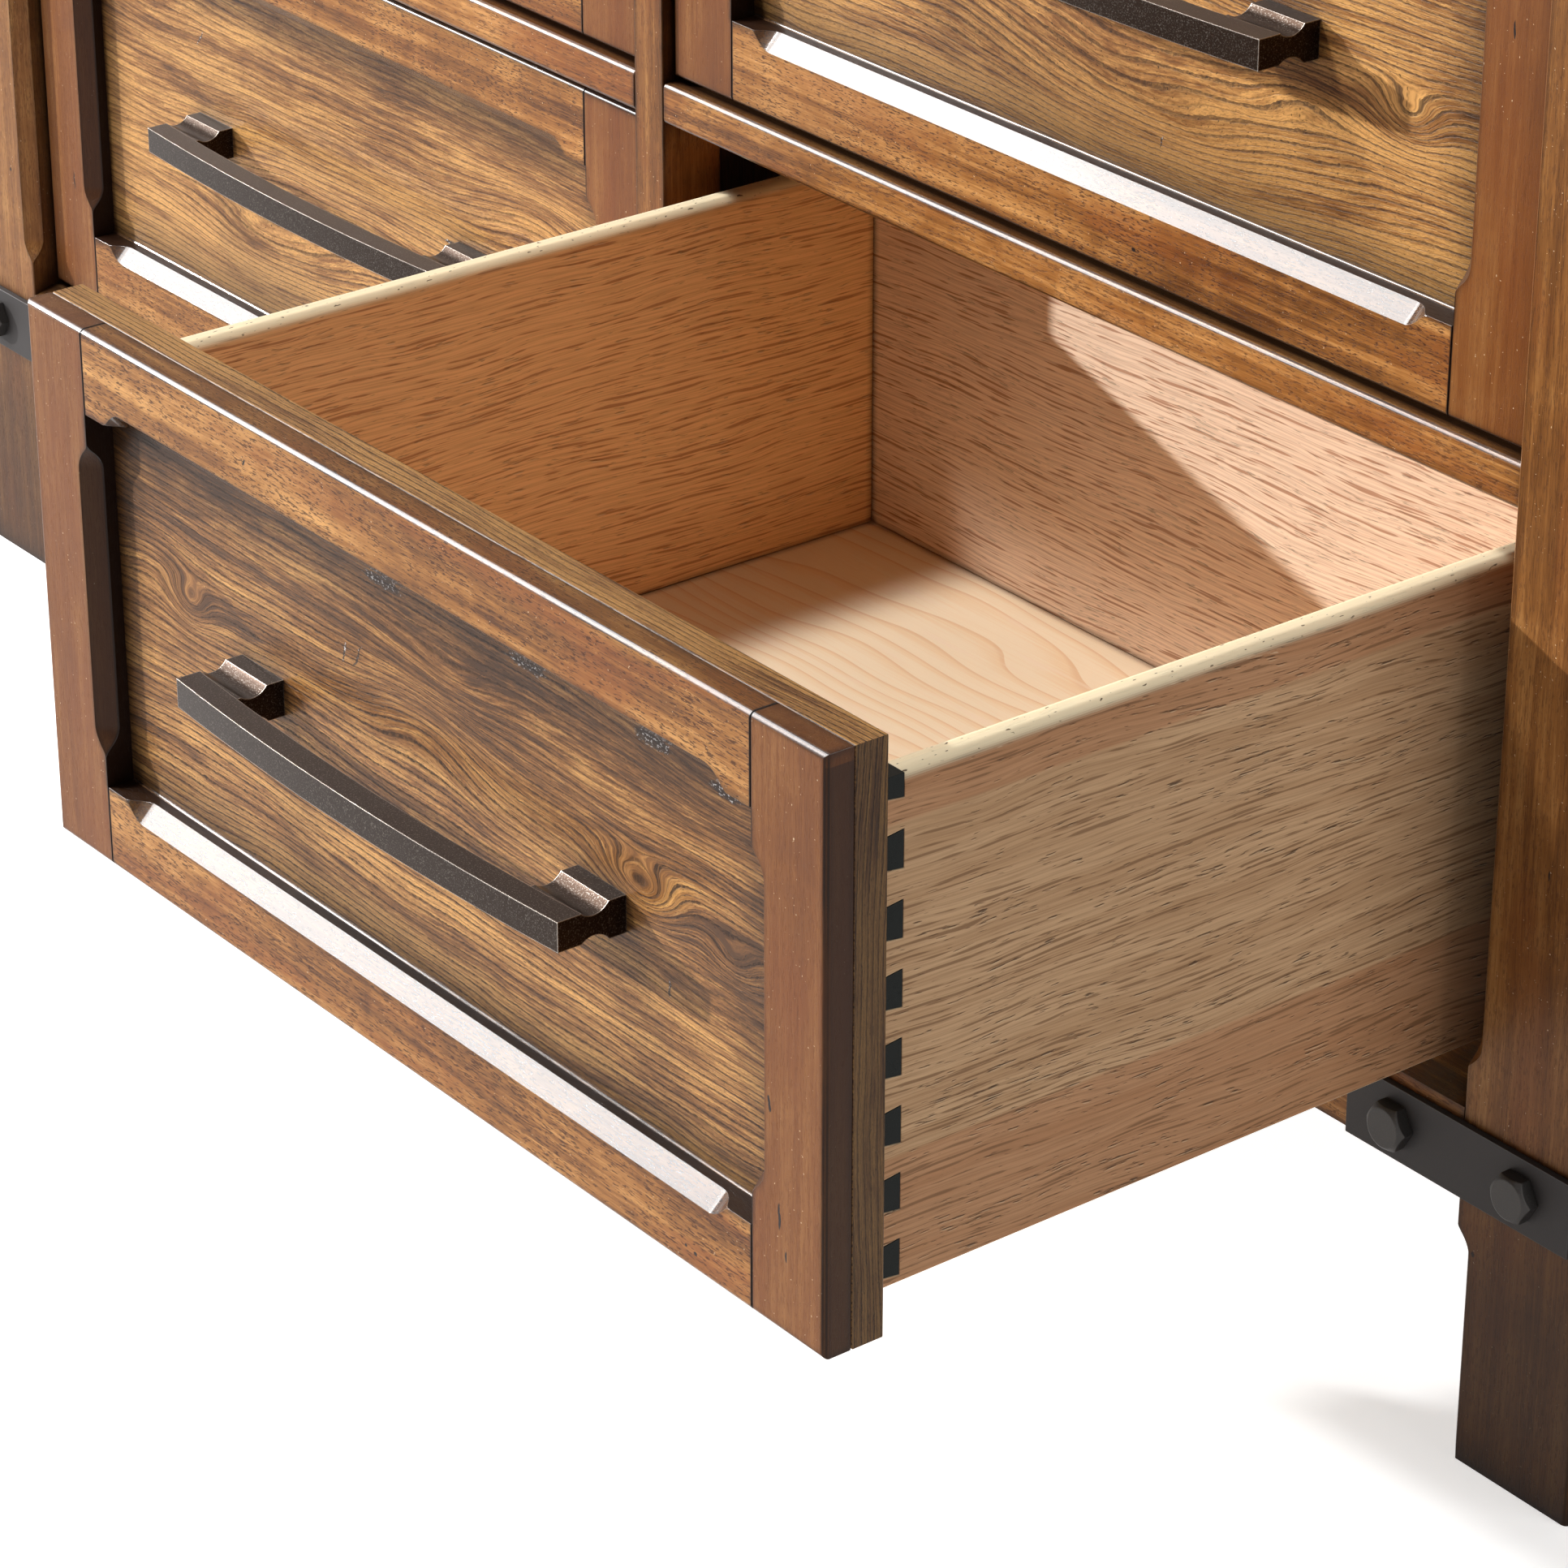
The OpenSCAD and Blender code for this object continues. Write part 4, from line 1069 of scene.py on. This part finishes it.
def soften(node: bpy.types.Object, width: float, turn: float) -> None:
    """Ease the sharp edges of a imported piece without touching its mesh.

    Args:
        node: The piece.
        width: Width of the eased edge, in metres.
        turn: Least angle between faces that counts as an edge, in degrees.
    """
    weld = node.modifiers.new("weld", "WELD")
    weld.merge_threshold = WELD_GAP
    flat = node.modifiers.new("flat faces", "DECIMATE")
    flat.decimate_type = "DISSOLVE"
    flat.angle_limit = math.radians(FLAT_TURN)
    bevel = node.modifiers.new("eased edges", "BEVEL")
    bevel.width = width
    bevel.segments = EDGE_STEPS
    bevel.limit_method = "ANGLE"
    bevel.angle_limit = math.radians(turn)
    node.modifiers.new("even shading", "WEIGHTED_NORMAL")


def finish_pieces(
    nodes: Pieces, rows: Rows, ease: float, turn: float = EDGE_TURN, owner: str = ""
) -> list[bpy.types.Object]:
    """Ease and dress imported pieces.

    Args:
        nodes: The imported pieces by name.
        rows: Each material with the names of its pieces.
        ease: Width of the eased edges, in metres.
        turn: Least angle between faces that counts as an edge, in degrees.
        owner: What the names of these pieces begin with.

    Returns:
        The pieces that were dressed.
    """
    done = []
    for material, names in rows:
        for name in names:
            node = nodes[owner + name]
            soften(node, ease, turn)
            for slot in node.material_slots:
                slot.material = material
            done.append(node)
    return done


@dataclass
class Case:
    """Fixed woodwork: posts, rails, panels, partition and back.

    Attributes:
        ease: Width of the eased edges, in metres.
        fine_ease: Width on thin boards, in metres.
        swirls: Figure of the side panels, up the panel and across it.
        dents: Charcoal dents in the fronts of the posts and the middle stile.
    """

    ease: float = 0.0008
    fine_ease: float = 0.0004
    swirls: tuple[Swirl, ...] = (Swirl(210.0, -90.0, 90.0, 30.0, 18.0), Swirl(520.0, 60.0, 120.0, 34.0, -18.0))
    dents: tuple[Streak, ...] = (
        Streak(556.0, 438.0, 2.2, 1.6, 90.0),
        Streak(532.0, 612.0, 7.0, 0.8, 86.0),
        Streak(523.0, 92.0, 2.4, 1.8, 90.0),
        Streak(548.0, 262.0, 5.0, 0.7, 94.0),
        Streak(-541.0, 356.0, 8.0, 0.9, 90.0),
        Streak(-530.0, 214.0, 2.0, 1.5, 90.0),
        Streak(-556.0, 702.0, 6.0, 0.8, 88.0),
        Streak(3.0, 520.0, 9.0, 0.8, 90.0),
        Streak(-4.0, 332.0, 5.0, 0.7, 92.0),
    )

    def build(self, nodes: Pieces) -> list[bpy.types.Object]:
        """Ease and dress the pieces of the case.

        Args:
            nodes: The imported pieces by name.

        Returns:
            The pieces that were dressed.
        """
        wood = GlazedWood()
        upright = wood.make("glazed_upright", GrainRun.HEIGHT, dents=self.dents, pored=0.5)
        level = wood.make("glazed_level", GrainRun.WIDTH, pored=0.7)
        inward = wood.make("glazed_inward", GrainRun.DEPTH, pored=0.7)
        side = FiguredVeneer(GrainRun.HEIGHT, GrainRun.DEPTH, (30.0, 12.0, 540.0), self.swirls).make("side_veneer")
        # Partition wood this dark is painted shade: it only shows deep inside the case.
        shade = PlainWood(stain(56, 33, 22), stain(30, 17, 12), GrainRun.HEIGHT).make("partition_shade_wood")
        back = PlainWood(stain(120, 84, 58), stain(84, 55, 36), GrainRun.HEIGHT).make("back_panel_wood")
        runner = PlainWood(BARE_WOOD, BARE_GRAIN, GrainRun.DEPTH).make("runner_plain_wood")
        hidden = PlainWood(stain(150, 108, 72), stain(110, 74, 46), GrainRun.WIDTH).make("rear_rail_wood")
        thick = (
            (upright, ("front_post_left", "front_post_right", "rear_post_left", "rear_post_right", "centre_stile")),
            (level, ("bottom_rail", "mid_rail_left", "mid_rail_right", "upper_rail", "top_rail")),
            (inward, ("side_rails_left", "side_rails_right")),
            (hidden, ("rear_rails",)),
            (runner, ("drawer_runners",)),
        )
        thin = (
            (side, ("side_panel_left", "side_panel_right")),
            (shade, ("centre_partition",)),
            (back, ("back_panel",)),
        )
        return finish_pieces(nodes, thick, self.ease) + finish_pieces(nodes, thin, self.fine_ease)


@dataclass
class MediaTier:
    """Open tier under the top: shelf, divider and the top itself.

    Attributes:
        ease: Width of the eased edges, in metres.
        swirls: Figure of the top.
        smears: Dark marks in the top.
    """

    ease: float = 0.0012
    swirls: tuple[Swirl, ...] = (Swirl(-260.0, -70.0, 120.0, 34.0, 20.0), Swirl(180.0, 60.0, 150.0, 40.0, -20.0))
    smears: tuple[Streak, ...] = (Streak(-90.0, 40.0, 26.0, 3.0), Streak(330.0, -110.0, 20.0, 2.6))

    def build(self, nodes: Pieces) -> list[bpy.types.Object]:
        """Ease and dress the pieces of the open tier.

        Args:
            nodes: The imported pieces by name.

        Returns:
            The pieces that were dressed.
        """
        top = FiguredVeneer(GrainRun.WIDTH, GrainRun.DEPTH, (0.0, 0.0, 885.0), self.swirls, self.smears)
        shelf = FiguredVeneer(GrainRun.WIDTH, GrainRun.DEPTH, (70.0, 31.0, 661.0))
        rows = (
            (top.make("top_veneer"), ("top_board",)),
            (shelf.make("shelf_veneer"), ("media_shelf",)),
            (GlazedWood().make("glazed_divider", GrainRun.HEIGHT, pored=0.5), ("media_divider",)),
        )
        return finish_pieces(nodes, rows, self.ease)


@dataclass
class LacquerLine:
    """Thin fillet of clear lacquer that settled between the lower frame rail and the panel.

    Attributes:
        reach: Width of the fillet on each face, in metres.
        half_length: Half its length, in metres.
        ledge: Height of the rail's upper face above the drawer's lower edge, in metres.
        sunk: How far it dips into the wood, in metres.
        steps: Number of faces across its hollow.
    """

    reach: float = 0.0008
    half_length: float = 0.2095
    ledge: float = 0.035
    sunk: float = 0.0002
    steps: int = 4

    def build(self, drawer: str, material: Material) -> bpy.types.Object:
        """Make the fillet of one drawer.

        Args:
            drawer: Name of the drawer's body.
            material: Finish of the fillet.

        Returns:
            The new piece.
        """
        low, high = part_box(f"{drawer}_panel")
        middle = (low[0] + high[0]) / 2
        corner = (low[1], low[2] + self.ledge)
        section = [(self.sunk, -self.sunk), (-self.reach, -self.sunk)]
        for step in range(self.steps + 1):
            turn = math.pi / 2 * step / self.steps
            section.append((-self.reach * (1 - math.sin(turn)), self.reach * (1 - math.cos(turn))))
        section.append((self.sunk, self.reach))
        count = len(section)
        ends = (middle - self.half_length, middle + self.half_length)
        points = [(x, corner[0] + y, corner[1] + z) for x in ends for y, z in section]
        faces = [(i, (i + 1) % count, count + (i + 1) % count, count + i) for i in range(count)]
        faces += [tuple(reversed(range(count))), tuple(range(count, 2 * count))]
        mesh = bpy.data.meshes.new(f"{drawer}_lacquer_line")
        mesh.from_pydata(points, [], faces)
        mesh.materials.append(material)
        piece = bpy.data.objects.new(f"{drawer}_lacquer_line", mesh)
        bpy.context.scene.collection.objects.link(piece)
        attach(piece, drawer)
        return piece


@dataclass(frozen=True)
class DrawerFinishes:
    """Finishes that every drawer shares."""

    oak_front: Material
    oak_side: Material
    oak_back: Material
    bottom: Material
    guide: Material
    pull: Material
    lacquer: Material

    @classmethod
    def mix(cls) -> DrawerFinishes:
        """Make the shared finishes.

        Returns:
            The finishes.
        """
        return cls(
            oak_front=BoxOak(GrainRun.WIDTH).make("oak_box_front", 0.6, pinned=True),
            oak_side=BoxOak(GrainRun.DEPTH).make("oak_box_side", 0.85, sloped=0.01),
            oak_back=BoxOak(GrainRun.WIDTH, warm=stain(252, 226, 200)).make("oak_box_back", 0.9, sloped=-0.02),
            bottom=BottomBoard().make("drawer_bottom_wood"),
            guide=PlainWood(BARE_WOOD, BARE_GRAIN, GrainRun.DEPTH).make("guide_wood"),
            pull=CastMetal(stain(43, 32, 25), stain(202, 194, 184), 0.34).make("cast_pull_iron"),
            lacquer=Lacquer().make("settled_lacquer"),
        )


@dataclass
class Drawer:
    """One drawer with its front, box and pull.

    Attributes:
        name: Name of its body.
        middle: Middle of the drawer across, in mm.
        foot: Height of its lower edge, in mm.
        swirls: Figure of its veneer.
        streaks: Marks in its veneer.
        dents: Charcoal dents in its frame.
        light: How light its veneer is, partly painted sheen.
        ease: Width of its eased edges, in metres.
        pull_turn: Least angle that counts as an edge on the pull, in degrees.
    """

    name: str
    middle: float
    foot: float
    swirls: tuple[Swirl, ...]
    streaks: tuple[Streak, ...]
    dents: tuple[Streak, ...]
    light: float = 0.0
    ease: float = 0.0005
    pull_turn: float = 24.0

    def build(self, nodes: Pieces, shared: DrawerFinishes) -> list[bpy.types.Object]:
        """Ease and dress the pieces of this drawer.

        Args:
            nodes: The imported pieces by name.
            shared: Finishes that all drawers have.

        Returns:
            The pieces that were dressed or made.
        """
        veneer = FiguredVeneer(
            GrainRun.WIDTH,
            GrainRun.HEIGHT,
            (self.middle, self.foot, -41.0),
            self.swirls,
            self.streaks,
            light=self.light,
            fall=0.0005,
            field=(210.0, 35.0, 195.0, 24.0),
        )
        front = FrontPlan(self.middle, self.foot)
        frame_wood = GlazedWood().make(f"{self.name}_frame_wood", GrainRun.WIDTH, front, self.dents)
        rows = (
            (veneer.make(f"{self.name}_veneer"), ("panel",)),
            (frame_wood, ("frame",)),
            (shared.oak_front, ("box_front",)),
            (shared.oak_side, ("side_left", "side_right")),
            (shared.oak_back, ("box_back",)),
            (shared.bottom, ("bottom",)),
            (shared.guide, ("guide",)),
        )
        owner = f"{self.name}_"
        done = finish_pieces(nodes, rows, self.ease, owner=owner)
        done += finish_pieces(nodes, ((shared.pull, ("pull",)),), self.ease, self.pull_turn, owner)
        return done + [LacquerLine().build(self.name, shared.lacquer)]


@dataclass
class Straps:
    """Flat iron bars across the feet, with their bolts.

    Attributes:
        ease: Width of the eased edges, in metres.
    """

    ease: float = 0.0004

    def build(self, nodes: Pieces) -> list[bpy.types.Object]:
        """Ease and dress the straps and bolts.

        Args:
            nodes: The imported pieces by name.

        Returns:
            The pieces that were dressed.
        """
        flat = CastMetal(stain(44, 40, 39), stain(84, 80, 78), 0.62, 0.5).make("strap_iron")
        bolt = CastMetal(stain(52, 49, 47), stain(104, 100, 96), 0.46, 0.6).make("bolt_iron")
        rows = ((flat, ("strap_left", "strap_right")), (bolt, ("strap_bolts",)))
        return finish_pieces(nodes, rows, self.ease)


@dataclass
class Lamp:
    """A square studio lamp.

    Attributes:
        name: Name of the lamp.
        towards: Direction from the object to the lamp.
        far: Distance from the object, in metres.
        size: Edge of the lamp, in metres.
        glow: How bright its face is.
        only_shine: Whether it shows in glossy surfaces only.
    """

    name: str
    towards: Triple
    far: float
    size: float
    glow: float
    only_shine: bool = False

    def light(self, aim: Vector) -> None:
        """Set the lamp up.

        Args:
            aim: The point that it lights.
        """
        lamp = bpy.data.lights.new(self.name, "AREA")
        lamp.shape = "SQUARE"
        lamp.size = self.size
        lamp.energy = self.glow * math.pi * self.size**2
        holder = bpy.data.objects.new(self.name, lamp)
        way = Vector(self.towards).normalized()
        holder.location = aim + way * self.far
        holder.rotation_euler = way.to_track_quat("Z", "Y").to_euler()
        holder.visible_diffuse = not self.only_shine
        bpy.context.scene.collection.objects.link(holder)


@dataclass
class Studio:
    """Camera, lamps, floor and white surroundings.

    Attributes:
        eye: Place of the camera, in metres.
        aim: Point that the camera looks at, in metres.
        lens: Focal length, in mm.
        sensor: Width of the picture that the focal length belongs to, in mm.
        key_way: Direction from the object to the main lamp.
        key_strength: Strength of the main lamp.
        key_spread: How wide the main lamp looks, in degrees.
        lit_point: Point that the soft lamps light, in metres.
        clip: Nearest and farthest distance that the camera sees, in metres.
        room: Strength of the light from all round.
        floor_reach: Distance from the middle of the floor to each side, in metres.
        floor_tone: How pale the floor is.
        floor_glow: How much light is added where the floor shows.
        lamps: The soft lamps.
    """

    eye: Triple = (1.73313, -1.33020, 1.16181)
    aim: Triple = (0.22544, -0.16240, 0.19974)
    lens: float = 124.435
    sensor: float = 36.0
    key_way: Triple = (-0.816, -0.500, 0.290)
    key_strength: float = 4.2
    key_spread: float = 1.3
    lit_point: Triple = (0.0, 0.0, 0.4)
    clip: tuple[float, float] = (0.05, 60.0)
    room: float = 0.045
    floor_reach: float = 14.0
    floor_tone: float = 0.78
    floor_glow: float = 0.62
    lamps: tuple[Lamp, ...] = (
        Lamp("left_softbox", (-0.70, -0.45, 0.55), 3.0, 0.8, 5.0),
        Lamp("overhead_softbox", (-0.417, -0.52, 1.00), 3.0, 0.45, 122.0),
        Lamp("chamfer_softbox", (-0.675, -0.480, 0.560), 2.81, 1.8, 10.5, only_shine=True),
        Lamp("right_fill", (0.90, 0.20, 0.24), 3.2, 2.0, 3.0),
        Lamp("back_fill", (0.10, 0.90, 0.45), 3.2, 2.0, 1.3),
    )

    def build(self) -> None:
        """Set up everything round the object."""
        self.point_camera()
        self.hang_lamps()
        self.paint_room()
        self.lay_floor()
        bpy.context.scene.view_settings.view_transform = "Standard"

    def point_camera(self) -> None:
        """Make the camera of the main picture."""
        data = bpy.data.cameras.new("camera")
        data.lens = self.lens
        data.sensor_width = self.sensor
        data.clip_start, data.clip_end = self.clip
        camera = bpy.data.objects.new("camera", data)
        camera.location = self.eye
        camera.rotation_mode = "QUATERNION"
        camera.rotation_quaternion = (Vector(self.aim) - Vector(self.eye)).to_track_quat("-Z", "Y")
        bpy.context.scene.collection.objects.link(camera)
        bpy.context.scene.camera = camera

    def hang_lamps(self) -> None:
        """Make the main lamp and the softer ones."""
        data = bpy.data.lights.new("key", "SUN")
        data.energy = self.key_strength
        data.angle = math.radians(self.key_spread)
        key = bpy.data.objects.new("key", data)
        key.rotation_euler = Vector(self.key_way).to_track_quat("Z", "Y").to_euler()
        bpy.context.scene.collection.objects.link(key)
        for lamp in self.lamps:
            lamp.light(Vector(self.lit_point))

    def paint_room(self) -> None:
        """Light the surroundings softly and show them white."""
        world = bpy.data.worlds.new("white_room")
        world.use_nodes = True
        layout = NodeLayout(world.node_tree)
        feeds = {"Color": WHITE, "Strength": layout.when_seen(self.room, 1.0)}
        sky = layout.add("ShaderNodeBackground", feeds).outputs[0]
        layout.add("ShaderNodeOutputWorld", {"Surface": sky})
        bpy.context.scene.world = world

    def lay_floor(self) -> None:
        """Lay a plain pale floor that keeps the object's shadow."""
        reach = self.floor_reach
        corners = [(-reach, -reach, 0.0), (reach, -reach, 0.0), (reach, reach, 0.0), (-reach, reach, 0.0)]
        mesh = bpy.data.meshes.new("floor")
        mesh.from_pydata(corners, [], [(0, 1, 2, 3)])
        floor = bpy.data.objects.new("floor", mesh)
        bpy.context.scene.collection.objects.link(floor)
        material = bpy.data.materials.new("pale_floor")
        material.use_nodes = True
        layout = NodeLayout(material.node_tree)
        chalk = layout.add("ShaderNodeBsdfDiffuse", {"Color": (self.floor_tone,) * 3 + (1.0,)}).outputs[0]
        feeds = {"Color": WHITE, "Strength": layout.when_seen(0.0, self.floor_glow)}
        glow = layout.add("ShaderNodeEmission", feeds).outputs[0]
        both = layout.add("ShaderNodeAddShader", {0: chalk, 1: glow}).outputs[0]
        layout.add("ShaderNodeOutputMaterial", {"Surface": both})
        mesh.materials.append(material)


def drawers() -> list[Drawer]:
    """List the four drawers with the figure of each veneer.

    Returns:
        The drawers.
    """
    high = ROW_FOOT + ROW_PITCH
    main_swirls = (
        Swirl(-159.3, 132.6, 13.0, 8.5, 12.5),
        Swirl(-186.0, 138.0, 30.0, 16.0, -8.0),
        Swirl(-4.0, 141.2, 40.0, 14.0, -11.0),
        Swirl(20.0, 166.0, 30.0, 9.0, 6.0),
        Swirl(131.8, 128.3, 23.0, 11.5, 17.0),
        Swirl(185.0, 122.7, 15.0, 8.0, 8.0),
    )
    main_streaks = (
        Streak(-24.0, 188.5, 26.0, 5.0),
        Streak(66.0, 189.5, 24.0, 5.6),
        Streak(140.0, 188.5, 22.0, 6.0),
        Streak(181.0, 185.5, 18.0, 6.0),
        Streak(-43.0, 151.5, 13.0, 1.3, 59.0),
        Streak(-52.0, 150.0, 10.0, 1.2, 70.0),
        Streak(147.0, 96.0, 7.0, 1.3, 84.0),
    )
    main_dents = (
        Streak(225.2, 46.0, 11.5, 1.5, 90.0),
        Streak(228.8, 31.3, 4.5, 1.1, 90.0),
        Streak(219.9, 87.4, 6.5, 1.6, 94.0),
        Streak(177.6, 7.5, 2.2, 1.6),
        Streak(172.0, 8.4, 1.8, 1.4),
        Streak(-96.0, 214.0, 3.0, 1.2, 70.0),
    )
    few_dents = (
        Streak(-226.0, 60.0, 9.0, 1.2, 90.0),
        Streak(231.0, 150.0, 7.0, 1.1, 90.0),
        Streak(40.0, 12.0, 2.4, 1.6),
    )
    left_low = (Swirl(-60.0, 70.0, 90.0, 22.0, 15.0), Swirl(150.0, 150.0, 40.0, 16.0, -10.0))
    left_low_streaks = (Streak(90.0, 120.0, 14.0, 2.0), Streak(-120.0, 160.0, 9.0, 0.8, 62.0))
    right_high = (
        Swirl(20.0, 60.0, 100.0, 24.0, 16.0),
        Swirl(-140.0, 150.0, 24.0, 10.0, 13.0),
        Swirl(170.7, 98.8, 17.0, 10.0, 13.0),
        Swirl(118.0, 92.0, 24.0, 9.0, -5.0),
    )
    right_high_streaks = (Streak(-150.0, 80.0, 16.0, 2.2), Streak(40.0, 52.0, 6.0, 0.9, 70.0))
    left_high = (Swirl(70.0, 130.0, 80.0, 22.0, -14.0), Swirl(-110.0, 90.0, 24.0, 13.0, 13.0))
    left_high_streaks = (Streak(20.0, 170.0, 15.0, 2.4), Streak(160.0, 90.0, 8.0, 0.8, 65.0))
    return [
        Drawer("drawer_lower_right", COLUMN, ROW_FOOT, main_swirls, main_streaks, main_dents),
        Drawer("drawer_lower_left", -COLUMN, ROW_FOOT, left_low, left_low_streaks, few_dents, 0.045),
        Drawer("drawer_upper_right", COLUMN, high, right_high, right_high_streaks, few_dents, 0.03),
        Drawer("drawer_upper_left", -COLUMN, high, left_high, left_high_streaks, few_dents, 0.02),
    ]


def main() -> None:
    """Build the sub-assemblies in order and log how each piece is dressed."""
    logging.basicConfig(level=logging.INFO, format="%(name)s: %(message)s")
    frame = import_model()
    nodes: Pieces = frame["nodes"]
    done = Case().build(nodes) + MediaTier().build(nodes) + Straps().build(nodes)
    shared = DrawerFinishes.mix()
    for drawer in drawers():
        done += drawer.build(nodes, shared)
    Studio().build()
    for piece in done:
        LOG.info("%s dressed with %s", piece.name, piece.material_slots[0].material.name)
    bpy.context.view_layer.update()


if __name__ == "__main__":
    main()
